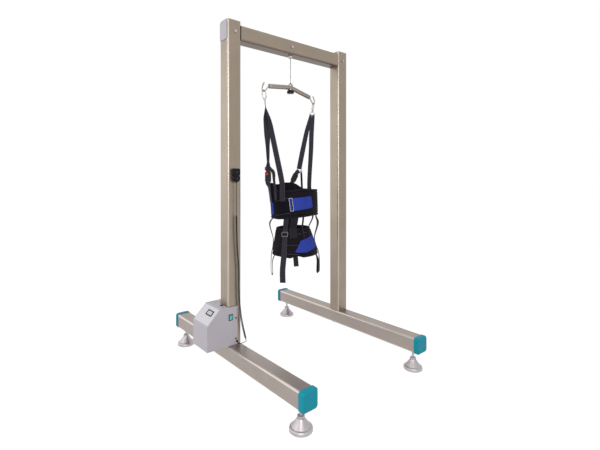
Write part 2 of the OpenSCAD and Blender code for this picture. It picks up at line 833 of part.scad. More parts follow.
// A smooth curve through the points: t runs from 0 to 1
function curve(p, t) =
    let (n = len(p) - 1, s = min(t * n, n - 0.0001), i = floor(s), f = s - i,
         a = p[max(i - 1, 0)], b = p[i], c = p[i + 1], d = p[min(i + 2, n)])
    0.5 * (2 * b + (c - a) * f + (2 * a - 5 * b + 4 * c - d) * f * f
           + (3 * b - a - 3 * c + d) * f * f * f);
function curl_dir(t) = unit(curve(curl_path, min(t + 0.01, 1)) - curve(curl_path, max(t - 0.01, 0)));
function curl_out(t, angle) =
    let (d = curl_dir(t), u = across(d, [1, 0, 0]), v = cross(d, u)) cos(angle) * u + sin(angle) * v;
// The curls swell from the straight ends over their first and last turn
function curl_swell(t) = curl_r * min(1, t * curls, (1 - t) * curls);

curl_steps = curls * curl_rings;
curl_start = curl_path[0];
curl_end = curl_path[len(curl_path) - 1];
curl_margin = 0.006;
curl_ts = [for (i = [0:curl_steps]) curl_margin + (1 - 2 * curl_margin) * i / curl_steps];
curl_points = concat([curl_start],
    [for (i = [0:curl_steps])
        curve(curl_path, curl_ts[i])
        + curl_swell(i / curl_steps) * curl_out(curl_ts[i], 360 * i / curl_rings)],
    [curl_end]);
curl_refs = concat([curl_out(0, 0)],
    [for (i = [0:curl_steps]) curl_out(curl_ts[i], 360 * i / curl_rings)], [curl_out(1, 0)]);
curl_gap = min([for (i = [0:curl_steps - 14], k = [5:12]) norm(curl_points[i + k] - curl_points[i])])
    - 2 * cord_r;

module curly_cord() {
    echo(least_gap_between_curls = curl_gap);
    color(black) swept_tube(curl_points, curl_refs, cord_r, cord_sides);
}

module tail_lead() {
    steps = 4 * (len(tail_path) - 1);
    points = [for (i = [0:steps]) curve(tail_path, i / steps)];
    color(black) swept_tube(points, [for (p = points) [0, 0.3, 1]], cord_r, 8);
}

module cord_gland() {
    color(black) rod_y(gland_at[0], gland_at[1], box_front, gland_at[2], gland_r);
    color(black) rod_y(gland_at[0], box_front - 1, box_front + sheet + 1, gland_at[2], 4);
}

// Spreader

module cable_swivel() {
    color(black) translate([mid_x, post_y, 0]) {
        translate([0, 0, cap_top - 10]) cylinder(r = swivel_r, h = hub_top + 4 - cap_top + 10);
        translate([0, 0, hub_top + slip]) cylinder(r = 11, h = 4);
        translate([0, 0, hub_top + 4]) cylinder(r1 = 8, r2 = cable_r + 1.5, h = ferrule_len - 4);
        translate([0, 0, cap_top - 10]) cylinder(r1 = 26, r2 = 20, h = 10);
        translate([0, 0, cap_top - 21]) cylinder(r = 26, h = 11);
        translate([0, 0, cap_top - 23]) cylinder(r1 = 23, r2 = 26, h = 2);
    }
}

module spreader_bar() {
    color(steel) hang() difference() {
        union() {
            translate([0, 0, hub_top - hub_h]) cylinder(r = hub_r, h = hub_h);
            for (side = [0, 180])
                rotate([0, 0, side]) translate([0, 0, spreader_z]) rotate([0, 90 + arm_droop, 0]) {
                    cylinder(r = arm_d / 2, h = arm_len / cos(arm_droop) - 3);
                    translate([0, 0, arm_len / cos(arm_droop) - 3])
                        cylinder(r1 = arm_d / 2, r2 = arm_d / 2 - 3, h = 3);
                }
        }
        translate([0, 0, hub_top - hub_h - 30]) cylinder(r = swivel_r + run_fit, h = hub_h + 60);
    }
}

// One wire hook in its own plane, for the arm on +X
module wire_hook() {
    start_x = hook_x - hook_bend_r * sin(45) - 40.7;
    start_z = hook_mid_z - hook_bend_r * cos(45) + 40.7;
    translate([start_x, 0, start_z]) rotate([0, 135, 0]) cylinder(r = hook_r, h = hook_lead);
    translate([hook_x, 0, hook_mid_z]) rotate([90, 0, 0]) rotate([0, 0, -135])
        rotate_extrude(angle = 145) translate([hook_bend_r, 0]) circle(hook_r);
    translate([hook_x + (hook_bend_r - tip_bend_r) * cos(10), 0,
               hook_mid_z + (hook_bend_r - tip_bend_r) * sin(10)])
        rotate([90, 0, 0]) {
            rotate([0, 0, 10]) rotate_extrude(angle = 32) translate([tip_bend_r, 0]) circle(hook_r);
            rotate([0, 0, 42]) translate([tip_bend_r, 0, 0]) sphere(hook_r);
        }
}

module spreader_hooks() {
    color(bright) hang() for (side = [0, 180]) rotate([0, 0, side]) wire_hook();
}

// Puts its children at a hook's lowest point on the given side, tilted, then turned about Z
module at_hook(side, turn) {
    hang() translate([side * hook_x, 0, hook_low]) rotate([0, side * snap_tilt, 0])
        translate([0, 0, -hook_low]) rotate([0, 0, turn]) children();
}

// A swivel snap: the loop without its gate, the gate's pin and the swivel eye
module snap_hook() {
    translate([0, 0, snap_top]) rotate([90, 0, 0]) rotate_extrude(angle = 180)
        translate([snap_r, 0]) circle(snap_wire);
    translate([0, 0, snap_low]) rotate([90, 0, 0]) rotate([0, 0, 180]) rotate_extrude(angle = 180)
        translate([snap_r, 0]) circle(snap_wire);
    translate([-snap_r, 0, snap_low]) cylinder(r = snap_wire, h = snap_len);
    translate([snap_r, 0, gate_top + slip]) cylinder(r = snap_wire, h = snap_top - gate_top - slip);
    for (side = [-1, 1])
        translate([snap_r, side * 2.6, gate_z]) rotate([90, 0, 0]) cylinder(r = 3.6, h = 1.6, center = true);
    translate([snap_r, 0, gate_z]) rotate([90, 0, 0]) cylinder(r = 1, h = 6.6, center = true);
    difference() {
        union() {
            translate([0, 0, barrel_low]) cylinder(r = barrel_r, h = snap_low - snap_r - barrel_low + 1);
            translate([0, 0, ring_z - 3.5]) cylinder(r = 4.5, h = 8);
        }
        children();
    }
}

module snap_gate() {
    difference() {
        union() {
            translate([snap_r, 0, gate_z + 1]) cylinder(r = snap_wire, h = gate_top - gate_z - 1);
            translate([snap_r, 0, gate_z]) rotate([90, 0, 0]) cylinder(r = 2.8, h = 3.2, center = true);
        }
        translate([snap_r, 0, gate_z]) rotate([90, 0, 0])
            cylinder(r = 1 + run_fit, h = 10, center = true);
        for (side = [-1, 1])
            translate([snap_r, side * 2.8, gate_z]) rotate([90, 0, 0])
                cylinder(r = 4.2, h = 2.4, center = true);
    }
}

// The hole for a ring's top bar, which lies along X before the turn
module ring_hole(turn) {
    rotate([0, 0, turn]) translate([-10, 0, ring_z]) rotate([0, 90, 0])
        cylinder(r = ring_wire + slip, h = 20);
}

module left_snap_hook() {
    color(bright) at_hook(-1, left_snap_turn) snap_hook() ring_hole(left_ring_turn - left_snap_turn);
}
module right_snap_hook() {
    color(bright) at_hook(1, right_snap_turn) snap_hook() ring_hole(right_ring_turn - right_snap_turn);
}
module left_snap_gate() { color(bright) at_hook(-1, left_snap_turn) snap_gate(); }
module right_snap_gate() { color(bright) at_hook(1, right_snap_turn) snap_gate(); }

// A straight wire between two points with round ends
module wire(a, b, r) {
    d = b - a;
    translate(a) rotate([0, acos(d[2] / norm(d)), atan2(d[1], d[0])]) cylinder(r = r, h = norm(d));
    translate(a) sphere(r);
    translate(b) sphere(r);
}

// A four-sided ring that hangs in the snap's eye and carries the webbing
module strap_ring() {
    corners = [[-8, 0, ring_z], [8, 0, ring_z], [22, 0, ring_base_z], [-22, 0, ring_base_z]];
    for (i = [0:3]) wire(corners[i], corners[(i + 1) % 4], ring_wire);
}

module strap_rings() {
    color(bright) {
        at_hook(-1, left_ring_turn) strap_ring();
        at_hook(1, right_ring_turn) strap_ring();
    }
}

// Harness

// Outward point of an ellipse at an angle, off mm outside it
function oval(mid, a, b, angle, off) =
    [mid[0] + (a + off) * cos(angle), mid[1] + (b + off) * sin(angle)];
function vest_at(angle, z, off) =
    let (lean = lookup(angle, vest_lean) * max(0, (z - 1052) / 198))
    concat(oval(vest_mid, vest_a, vest_b, angle, off + lean), [z]);
function belt_at(angle, z, off) =
    let (t = (z - belt_low_z) / (belt_top_z - belt_low_z))
    concat(oval(belt_low_mid + t * (belt_top_mid - belt_low_mid),
                belt_low_a + t * (belt_top_a - belt_low_a),
                belt_low_b + t * (belt_top_b - belt_low_b), angle, off), [z]);

// Rounded section of a padded band: eight points with a crown and drawn-in edges
band_section = [for (i = [0:7]) let (a = 22.5 + 45 * i)
    [sign(cos(a)) * pow(abs(cos(a)), 0.6), sign(sin(a)) * pow(abs(sin(a)), 0.5)]];
// A sewn channel at every fourth side draws the crown in
function channel(i) = i % 4 == 2 ? 0.7 : 1;

// Faces of a closed band of rings
function band_faces(n, sides) =
    [for (i = [0:n - 1], j = [0:sides - 1], half = [0, 1])
        let (a = i * sides + j, b = i * sides + (j + 1) % sides,
             c = ((i + 1) % n) * sides + j, d = ((i + 1) % n) * sides + (j + 1) % sides)
        half == 0 ? [a, d, b] : [a, c, d]];

module vest() {
    points = [for (i = [0:vest_sides - 1], s = band_section)
        let (angle = -180 + 360 * i / vest_sides, low = lookup(angle, vest_foot),
             high = lookup(angle, vest_top), z = (low + high) / 2 + s[1] * (high - low) / 2)
        vest_at(angle, z, (s[0] * channel(i) - 1) * pad_t / 2)];
    color(black) hang(harness_shift)
        polyhedron(points = points, faces = band_faces(vest_sides, len(band_section)));
}

module pelvic_belt() {
    points = [for (i = [0:belt_sides - 1], s = band_section)
        let (angle = -180 + 360 * i / belt_sides, low = lookup(angle, belt_foot),
             z = (low + belt_top_z) / 2 + s[1] * (belt_top_z - low) / 2)
        belt_at(angle, z, (s[0] * channel(i) - 1) * pad_t / 2)];
    color(black) hang(harness_shift)
        polyhedron(points = points, faces = band_faces(belt_sides, len(band_section)));
}

// A sheet that lies on the vest or the belt between two angles, low and high edge by lookup
module wrap(on_vest, from, to, steps, lows, highs, t) {
    rings = [for (i = [0:steps])
        let (angle = from + (to - from) * i / steps, low = lookup(angle, lows), high = lookup(angle, highs))
        [for (q = [[low, slip], [high, slip], [high, slip + t], [low, slip + t]])
            on_vest ? vest_at(angle, q[0], q[1]) : belt_at(angle, q[0], q[1])]];
    polyhedron(points = [for (ring = rings, p = ring) p],
               faces = concat(flat_skin(steps + 1), end_fan(0, 4, true), end_fan(steps * 4, 4, false)));
}

module blue_panels() {
    color(blue) hang(harness_shift) {
        wrap(true, -150, -94, 9, [[-150, 1061], [-94, 1083]], [[-150, 1149], [-94, 1165]], panel_t);
        wrap(true, 148, 165, 4, [[148, 1032], [165, 1034]], [[148, 1116], [165, 1119]], panel_t);
        wrap(false, -136, -50, 13, [[-136, 776], [-108, 772], [-50, 803]],
             [[-136, 786], [-119, 853], [-50, 889]], panel_t);
    }
}

// A rectangular slide on the vest or belt: centre angle, height, width and height of the frame
module slide(on_vest, angle, z, w, h) {
    p = on_vest ? vest_at(angle, z, panel_t + 2 * slip) : belt_at(angle, z, web_t + 5 * slip);
    turn = face_turn(angle);
    foot = belt_at(angle, belt_low_z, 0) - belt_at(angle, belt_top_z, 0);
    lean = on_vest ? 0 : atan((foot[1] * cos(turn) - foot[0] * sin(turn)) / foot[2]);
    translate(p) rotate([0, 0, turn]) rotate([90 - lean, 0, 0])
        linear_extrude(slide_t) rotate(on_vest ? slide_tilt : 0) difference() {
            rounded_square(w, h, 4);
            rounded_square(w - 2 * slide_wire, h - 2 * slide_wire, 2);
        }
}

module belt_slides() {
    color(bright) hang(harness_shift) {
        slide(true, -146, 1108, 24, 92);
        slide(false, -164, 898, 46, 32);
        translate(slide_at) rotate([0, 0, -53]) rotate([90, 0, 0]) linear_extrude(3, center = true)
            difference() {
                rounded_square(44, 28, 3);
                for (y = [-6, 6]) translate([0, y]) square([34, 7], center = true);
            }
    }
}

// Direction in plan of the vest's face at an angle, for widths that lie on it
function face_turn(angle) = atan2(vest_b * cos(angle), -vest_a * sin(angle));
// A point under a ring's lower bar, along mm from the bar's middle and drop mm below its wire
function ring_point(side, turn, along, drop) =
    let (x = along * cos(turn), y = along * sin(turn), z = web_top - drop - hook_low,
         c = cos(side * snap_tilt), s = sin(side * snap_tilt))
    [side * hook_x + x * c + z * s, y, hook_low - harness_shift + z * c - x * s];
on_face = web_t / 2 + slip;
// A wide strap inside the vest stands off by the height of its own arc
function in_face(w) = -(pad_t + on_face + w * w / (8 * 150));
facing = [cos(37), sin(37), 0];
aside = [cos(-53), sin(-53), 0];
grip_way = unit(grip_top - grip_low);
tongue_at = buckle_top + [0, 0, 22];

// Webbing: points, widths and directions of the width
webs = [
    // left strap from its ring to the buckle's tongue
    [[ring_point(-1, left_ring_turn, 11, slip), ring_point(-1, left_ring_turn, 11, 10),
      [-252, 14, 1700], [-236, 16, 1592], [-226, 21, 1510],
      [-211, 30, 1400], tongue_at - (1.5 + on_face) * facing],
     [20, 20, 38, 42, 30, 30, 34], [37, 37, -20, -53, -25, 10, -53]],
    // left plain strap onto the vest
    [[ring_point(-1, left_ring_turn, -11, slip), ring_point(-1, left_ring_turn, -11, 10),
      [-236, -8, 1673], [-214, -16, 1565], [-192, -38, 1415],
      vest_at(-167, 1250, on_face + 3), vest_at(-167, 1190, on_face), vest_at(-167, 1130, on_face)],
     [20, 20, 30, 36, 38, 40, 40, 40], [37, 37, -20, -50, -60, -75, -75, -75]],
    // strap from the buckle's foot onto the vest
    [[buckle_at - [0, 0, slip], buckle_at - [0, 0, 10], vest_at(156, 1222, on_face + 2),
      vest_at(156, 1180, on_face + 1.6), vest_at(156, 1120, on_face + 1)],
     [36, 36, 36, 36, 36], [-53, -62, -110, -117, -117]],
    // strap from the buckle's tongue to the vest's front
    [[tongue_at + (1.5 + on_face) * facing + 10 * aside, tongue_at + (1.5 + on_face) * facing + 34 * aside
      - [0, 0, 22], [-194, -10, 1270], vest_at(175, 1200, on_face + 1), vest_at(175, 1140, on_face + 1)],
     [24, 24, 20, 20, 20], [-53, -60, -85, -96, -96]],
    // right plain strap
    [[ring_point(1, right_ring_turn, 11, slip), ring_point(1, right_ring_turn, 11, 10),
      [250, -14, 1680], [222, -26, 1507], vest_at(-2, 1240, on_face + 2),
      vest_at(-2, 1180, on_face), vest_at(-2, 1120, on_face)],
     [20, 20, 38, 38, 38, 38, 38], [-53, -53, -70, -80, -91, -91, -91]],
    // right strap to its slide
    [[ring_point(1, right_ring_turn, -11, slip), ring_point(1, right_ring_turn, -11, 10),
      [244, 28, 1664], [216, 50, 1502], [204, 68, 1392],
      slide_at + [0, 0, 12] - (1.5 + on_face) * facing],
     [20, 20, 34, 38, 38, 38], [-53, -53, -53, -53, -53, -53]],
    // from the slide to the padded grip and from the grip onto the vest
    [[slide_at - [0, 0, 3] - (3 + on_face) * facing, grip_top + 10 * grip_way,
      grip_top + 2 * slip * grip_way],
     [34, 32, 32], [-53, -53, -53]],
    [[grip_low - 2 * slip * grip_way, grip_low - 12 * grip_way, vest_at(48, 1222, on_face + 1),
      vest_at(48, 1160, on_face + 1), vest_at(48, 1110, on_face + 1)],
     [32, 32, 36, 36, 36], [-53, -53, -40, -38, -38]],
    // from the slide down to the vest's side
    [[slide_at + [10, -13, 0] + (1.5 + on_face) * facing,
      slide_at + [10, -13, -18] + (1.5 + on_face) * facing, [210, 56, 1290],
      vest_at(22, 1190, on_face + 1), vest_at(22, 1120, on_face + 1)],
     [16, 16, 16, 16, 16], [-53, -53, -58, -63, -63]],
    // front and back links, from inside the vest onto the belt
    link(-160, -163, 36, 904), link(-138, -138, 52, 872),
    link(-116, -106, 14, 872), link(-84, -74, 20, 886), link(60, 62, 60, 872),
    // hanging ends on the front
    [[belt_at(-164, 895, on_face), belt_at(-165, 800, on_face), belt_at(-166, 745, on_face + 1),
      [-169, -65, 650], [-168, -66, 571]], [36, 38, 40, 40, 40], [-71, -70, -67, -63, -60]],
    [[belt_at(-137, 800, in_face(42)), belt_at(-137, 745, in_face(42)), belt_at(-137, 682, in_face(42) - 4)],
     [34, 34, 34], [-47, -47, -46]],
    // thigh loops at the sides
    thigh(140, 597, 8, 0), thigh(-56, 600, -3, -18)];

// A strap from inside the vest at one angle onto the belt at another
function link(vest_angle, belt_angle, w, end_z) =
    let (a = face_turn(vest_angle), b = face_turn(belt_angle), off = on_face + 0.4)
    [[vest_at(vest_angle, 1062, in_face(w)), vest_at(vest_angle, 1010, in_face(w)),
      belt_at(belt_angle, 936, off + 1), belt_at(belt_angle, 922, off), belt_at(belt_angle, end_z, off)],
     [w, w, w, w, w], [a, a, b, b, b]];
// A loop that leaves the vest, hangs outside the belt and comes up inside the belt: its angle, its
// lowest height, how far it bulges off the vest and how far its hanging end twists
function thigh(angle, low, bulge, twist) =
    let (a = face_turn(angle), b = a + twist, over = on_face + panel_t + 2 * slip,
         o = belt_at(angle, 745, 5), i = belt_at(angle, 745, -4))
    [[vest_at(angle, 1055, in_face(36)), vest_at(angle, 1012, in_face(36)), vest_at(angle, 968, bulge),
      belt_at(angle, 850, over + 4), belt_at(angle, 790, over), o, [o[0], o[1], low + 9],
      [(o[0] + i[0]) / 2, (o[1] + i[1]) / 2, low], [i[0], i[1], low + 9], [i[0], i[1], 700],
      belt_at(angle, 742, in_face(36) - 2), belt_at(angle, 790, in_face(36))],
     [36, 36, 36, 36, 36, 36, 36, 36, 36, 36, 36, 36], [a, a, a, a, a, a, b, b, b, b, a, a]];

module webbing_straps() {
    color(black) for (w = webs) ribbon(w[0], w[1], w[2], web_t);
}

// Stands its children on low with local Z towards high and local X near the plan direction
module between(low, high, turn) {
    z = unit(high - low);
    x = across(z, [cos(turn), sin(turn), 0]);
    y = cross(z, x);
    multmatrix([[x[0], y[0], z[0], low[0]], [x[1], y[1], z[1], low[1]], [x[2], y[2], z[2], low[2]]])
        children();
}

// The left buckle's body, its tongue and the padded grip on the right strap
module buckles() {
    color(black) hang(harness_shift) {
        translate(buckle_at) rotate([0, 0, -53]) difference() {
            translate([0, 0, buckle_size[1] / 2]) rotate([90, 0, 0])
                linear_extrude(buckle_size[2], center = true)
                    rounded_square(buckle_size[0], buckle_size[1], 7);
            translate([button_x, -buckle_size[2] / 2 - 1, buckle_size[1] - button_drop]) rotate([-90, 0, 0])
                cylinder(r = button_r + slip, h = 7);
        }
        translate(buckle_top) rotate([0, 0, -53]) {
            translate([-15, -1.5, 0]) cube([30, 3, 10]);
            translate([0, 1.5, 22]) rotate([90, 0, 0]) linear_extrude(3) difference() {
                rounded_square(46, 26, 5);
                translate([0, 5]) square([36, 7], center = true);
            }
        }
        between(grip_low, grip_top, -53) rotate([90, 0, 0]) {
            length = norm(grip_top - grip_low);
            translate([0, length / 2, -11]) linear_extrude(22) rounded_square(36, length, 9);
            translate([0, length / 2, -8]) linear_extrude(16) rounded_square(42, length - 8, 10);
        }
    }
}

module red_button() {
    color([0.85, 0.15, 0.12]) hang(harness_shift) translate(buckle_at) rotate([0, 0, -53])
        translate([button_x, -buckle_size[2] / 2 - 1.5, buckle_size[1] - button_drop]) rotate([-90, 0, 0])
            cylinder(r = button_r, h = 5);
}

motor_upright();
far_upright();
top_beam();
motor_foot_beam();
far_foot_beam();
motor_front_cap();
motor_back_cap();
far_front_cap();
far_back_cap();
frame_bolts();
motor_front_foot();
motor_back_foot();
far_front_foot();
far_back_foot();
corner_axle();
centre_axle();
corner_pulley();
centre_pulley();
pulley_cover();
cable_bush();
lift_cable_run();
lift_cable_drop();
motor_cover();
motor_base_plate();
control_panel();
display_frame();
display_glass();
cover_screws();
rocker_frame();
power_rocker();
winch_drum();
drum_brackets();
gearbox();
hoist_motor();
control_board();
mains_inlet();
handset_holder();
handset();
up_button();
down_button();
handset_lead();
curly_cord();
tail_lead();
cord_gland();
cable_swivel();
spreader_bar();
spreader_hooks();
left_snap_hook();
right_snap_hook();
left_snap_gate();
right_snap_gate();
strap_rings();
vest();
pelvic_belt();
blue_panels();
belt_slides();
webbing_straps();
buckles();
red_button();
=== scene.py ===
# %% [markdown]
# # A body weight support gantry
# The object is a walking trainer: a stainless steel gantry, a hoist in a painted box on the left
# post, a wire rope over two pulleys, a spreader bar and a padded harness with webbing straps.
# The exact solids arrive as the frame. This script dresses them: materials for what is rigid,
# and detailed pieces in place of what is soft.

# %% Load the frame
import math

import bpy
import numpy as np
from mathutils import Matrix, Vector


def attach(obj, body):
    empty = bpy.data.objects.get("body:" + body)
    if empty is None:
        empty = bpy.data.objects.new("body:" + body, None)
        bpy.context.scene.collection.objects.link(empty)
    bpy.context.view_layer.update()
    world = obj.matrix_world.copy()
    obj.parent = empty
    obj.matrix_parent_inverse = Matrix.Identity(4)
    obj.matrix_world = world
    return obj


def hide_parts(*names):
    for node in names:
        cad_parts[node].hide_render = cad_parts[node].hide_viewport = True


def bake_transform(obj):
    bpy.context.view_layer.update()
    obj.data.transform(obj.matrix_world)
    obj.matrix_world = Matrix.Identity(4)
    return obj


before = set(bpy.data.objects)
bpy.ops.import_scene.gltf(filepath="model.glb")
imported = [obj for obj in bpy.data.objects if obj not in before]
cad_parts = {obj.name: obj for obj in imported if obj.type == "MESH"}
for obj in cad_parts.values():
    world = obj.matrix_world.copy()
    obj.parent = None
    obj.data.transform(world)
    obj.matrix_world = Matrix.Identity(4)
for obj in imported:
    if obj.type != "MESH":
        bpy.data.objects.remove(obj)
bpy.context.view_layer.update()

# %% [markdown]
# ## Camera
# The photograph was taken level, at about chest height, from the front left. Its horizon lies
# above the middle of the picture, so the lens is shifted down instead of tilted: uprights stay
# upright. The place and the focal length come from the straight edges of posts and beams.

# %% Camera
lens = bpy.data.cameras.new("photo_lens")
lens.lens, lens.sensor_width, lens.shift_y = 23.54, 36, -0.0785
camera = bpy.data.objects.new("photo_camera", lens)
camera.location = (-1.7389, -2.2087, 1.2914)
camera.rotation_euler = (math.radians(90), 0, math.radians(-40.52))
bpy.context.scene.collection.objects.link(camera)
bpy.context.scene.camera = camera
print("camera at", [round(v, 3) for v in camera.location], "focal length", lens.lens)

# %% [markdown]
# ## Points and curves
# Cords and straps follow a few route points, the same ones as in the part's source. A
# centripetal Catmull-Rom curve goes through all of them and doesn't overshoot where the points
# lie close, so they can be read straight off the object. Everything is written in millimetres
# and turned to metres at the end.

# %% Curves through points
SPAN_STEPS = 60


def unit(v):
    return v / np.linalg.norm(v)


def along_curve(points, t):
    """The point at t, from 0 to 1, of a smooth curve through the points."""
    points = np.asarray(points, float)
    last = len(points) - 1
    s = min(t * last, last - 1e-9)
    i = int(s)
    f = s - i
    b, c = points[i], points[i + 1]
    a = points[i - 1] if i > 0 else 2 * b - c
    d = points[i + 2] if i + 2 <= last else 2 * c - b
    before, here, after = (math.sqrt(np.linalg.norm(q - p)) for p, q in ((a, b), (b, c), (c, d)))
    leaving = c - b + here * ((b - a) / before - (c - a) / (before + here))
    coming = c - b + here * ((d - c) / after - (d - b) / (here + after))
    return ((2 * (b - c) + leaving + coming) * f ** 3
            - (3 * (b - c) + 2 * leaving + coming) * f ** 2 + leaving * f + b)


def run_along(points):
    """How far along the line of points each of them lies."""
    return np.concatenate([[0], np.cumsum(np.linalg.norm(np.diff(points, axis=0), axis=1))])


def even_curve(points, count):
    """count points at even steps along the smooth curve, and the value of t at each."""
    ts = np.linspace(0, 1, SPAN_STEPS * (len(points) - 1) + 1)
    fine = np.array([along_curve(points, t) for t in ts])
    run = run_along(fine)
    even = np.interp(np.linspace(0, run[-1], count), run, ts)
    return np.array([along_curve(points, t) for t in even]), even


def length_of(points):
    return float(np.linalg.norm(np.diff(points, axis=0), axis=1).sum())


# %% Pieces from meshes and curves
def clear_choice():
    """Nothing is selected, so that an operator touches only what is added next."""
    if bpy.context.object and bpy.context.object.mode != "OBJECT":
        bpy.ops.object.mode_set(mode="OBJECT")
    bpy.ops.object.select_all(action="DESELECT")


def choose(piece):
    """Only this piece is selected and active."""
    clear_choice()
    bpy.context.view_layer.objects.active = piece
    piece.select_set(True)


def coordinates(piece):
    flat = np.zeros(len(piece.data.vertices) * 3)
    piece.data.vertices.foreach_get("co", flat)
    return flat.reshape(-1, 3)


def move_to(piece, metres):
    piece.data.vertices.foreach_set("co", np.asarray(metres, float).ravel())
    piece.data.update()


def apply_all(piece):
    choose(piece)
    for modifier in list(piece.modifiers):
        bpy.ops.object.modifier_apply(modifier=modifier.name)


def smooth(piece, degrees):
    choose(piece)
    bpy.ops.object.shade_smooth_by_angle(angle=math.radians(degrees))


def outwards(piece):
    """Merged doubles, then normals that point out."""
    choose(piece)
    bpy.ops.object.mode_set(mode="EDIT")
    bpy.ops.mesh.select_all(action="SELECT")
    bpy.ops.mesh.remove_doubles(threshold=1e-6)
    bpy.ops.mesh.normals_make_consistent(inside=False)
    bpy.ops.object.mode_set(mode="OBJECT")


def tube(name, lines, radius):
    """Tubes with eight sides along lines of points in metres, as one closed mesh."""
    shape = bpy.data.curves.new(name, "CURVE")
    shape.dimensions, shape.bevel_depth = "3D", radius
    shape.bevel_resolution, shape.use_fill_caps = 2, True
    for line in lines:
        spline = shape.splines.new("POLY")
        spline.points.add(len(line) - 1)
        spline.points.foreach_set("co", np.hstack([line, np.ones((len(line), 1))]).ravel())
    piece = bpy.data.objects.new(name, shape)
    bpy.context.scene.collection.objects.link(piece)
    choose(piece)
    bpy.ops.object.convert(target="MESH")
    piece = bpy.context.object
    bpy.ops.object.shade_smooth()
    return piece


# %% [markdown]
# ## The handset's cord
# A coiled polyurethane cord: a short straight end under the handset, a long close coil that
# hangs beside the post, and a tail that turns back into the motor box through a gland. One
# tube follows the whole route, because the real one is one moulded cord. The coil has 14
# points a turn, so it stays round.

# %% Cord route
CORD_D = 4.0
COIL_MEAN_R = 4.75
COIL_TURNS = 130
TURN_POINTS = 14
SWELL_TURNS = 2
LEAD_TOP = (-428, -53, 1259)
coil_route = [(-428, -53, 1057), (-424, -52, 880), (-411, -51, 705), (-410, -51, 577),
              (-398, -53, 430), (-380, -56, 330), (-360, -58, 250)]
tail_route = [(-360, -58.5, 248.5), (-360, -61, 243), (-366, -64, 240), (-380, -66, 239),
              (-398, -67, 239), (-411, -65, 240), (-417.6, -58, 240), (-418, -49.5, 240)]


def coil_points(route, turns, mean_r):
    """A helix wound round a route. It swells from the straight ends over two turns."""
    centre, _ = even_curve(route, turns * TURN_POINTS + 1)
    found = []
    for i, point in enumerate(centre):
        ahead = unit(centre[min(i + 1, len(centre) - 1)] - centre[max(i - 1, 0)])
        side = unit(np.array([1, 0, 0]) - ahead[0] * ahead)
        turn = i / TURN_POINTS
        swell = min(1, turn / SWELL_TURNS, (turns - turn) / SWELL_TURNS)
        angle = 2 * math.pi * turn
        found.append(point + mean_r * swell
                     * (math.cos(angle) * side + math.sin(angle) * np.cross(ahead, side)))
    return np.array(found)


straight = np.linspace(LEAD_TOP, coil_route[0], 24)[:-1]
coil = coil_points(coil_route, COIL_TURNS, COIL_MEAN_R)
tail, _ = even_curve(tail_route, 40)
cord_line = np.vstack([straight, coil, tail[1:]]) / 1000
print("cord points", len(cord_line), "length", round(length_of(cord_line), 3), "m")

# %% Cord piece
handset_cord = tube("handset_cord", [cord_line], CORD_D / 2000)
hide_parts("handset_lead", "curly_cord", "tail_lead")
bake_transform(handset_cord)

# %% [markdown]
# ## The hoist rope
# Galvanised wire rope of 6 mm: six strands laid round a core. The visible length is short, so
# the strands are real tubes, one line set six times round the axis. The core is a little
# thicker than the gap between them, so that it closes. Inside the gantry the plain solid stays
# and its material draws slanting bands.

# %% Rope
ROPE_R, STRAND_R, ROPE_LAY = 3.0, 1.0, 39.0
CORE_R = ROPE_R - 2 * STRAND_R + 0.15
ROPE_AXIS = (70, 15)
ROPE_LOW, ROPE_HIGH = 1983, 2165


def strand(start_angle):
    z = np.linspace(ROPE_LOW, ROPE_HIGH, 61)
    angle = start_angle + 2 * math.pi * (z - ROPE_LOW) / ROPE_LAY
    r = ROPE_R - STRAND_R
    return np.stack([ROPE_AXIS[0] + r * np.cos(angle), ROPE_AXIS[1] + r * np.sin(angle), z],
                    axis=1) / 1000


core = np.linspace((*ROPE_AXIS, ROPE_LOW), (*ROPE_AXIS, ROPE_HIGH), 9) / 1000
hoist_rope = tube("hoist_rope", [strand(k * math.pi / 3) for k in range(6)], STRAND_R / 1000)
rope_core = tube("rope_core", [core], CORE_R / 1000)
for piece in (hoist_rope, rope_core):
    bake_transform(piece)
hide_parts("lift_cable_drop")
print("rope faces", len(hoist_rope.data.polygons))

# %% [markdown]
# ## Materials
# Every finish starts from the real one and its usual roughness. Colours are written as they
# are seen, in sRGB, and one function turns them to linear light. Small functions add the nodes
# that most finishes share.

# %% Helpers for materials
def linear(code, value=1.0):
    """An sRGB hex colour in linear light, made lighter or darker by value."""
    parts = [int(code[i:i + 2], 16) / 255 for i in (0, 2, 4)]
    return [value * (c / 12.92 if c <= 0.04045 else ((c + 0.055) / 1.055) ** 2.4)
            for c in parts] + [1]


def add(tree, kind, settings=None, links=None):
    """A node with its settings, by socket or by property, and its incoming links."""
    made = tree.nodes.new(kind)
    for key, value in (settings or {}).items():
        if isinstance(key, int) or key in made.inputs:
            made.inputs[key].default_value = value
        else:
            setattr(made, key, value)
    for socket, source in (links or {}).items():
        tree.links.new(source, made.inputs[socket])
    return made


def new_finish(name, **shader_values):
    """A material with a Principled shader. Returns it, its tree, the shader and the place."""
    made = bpy.data.materials.new(name)
    made.use_nodes = True
    tree = made.node_tree
    tree.nodes.clear()
    shader = add(tree, "ShaderNodeBsdfPrincipled",
                 {key.replace("_", " "): value for key, value in shader_values.items()})
    add(tree, "ShaderNodeOutputMaterial", {}, {"Surface": shader.outputs[0]})
    place = add(tree, "ShaderNodeTexCoord").outputs["Object"]
    return made, tree, shader, place


def between(tree, factor, low, high):
    """A colour that goes from low to high with the factor. Either may be a node's output."""
    ends = {6: low, 7: high}
    fixed = {key: end for key, end in ends.items() if isinstance(end, list)}
    linked = {key: end for key, end in ends.items() if key not in fixed}
    return add(tree, "ShaderNodeMix", {"data_type": "RGBA", **fixed},
               {0: factor, **linked}).outputs[2]


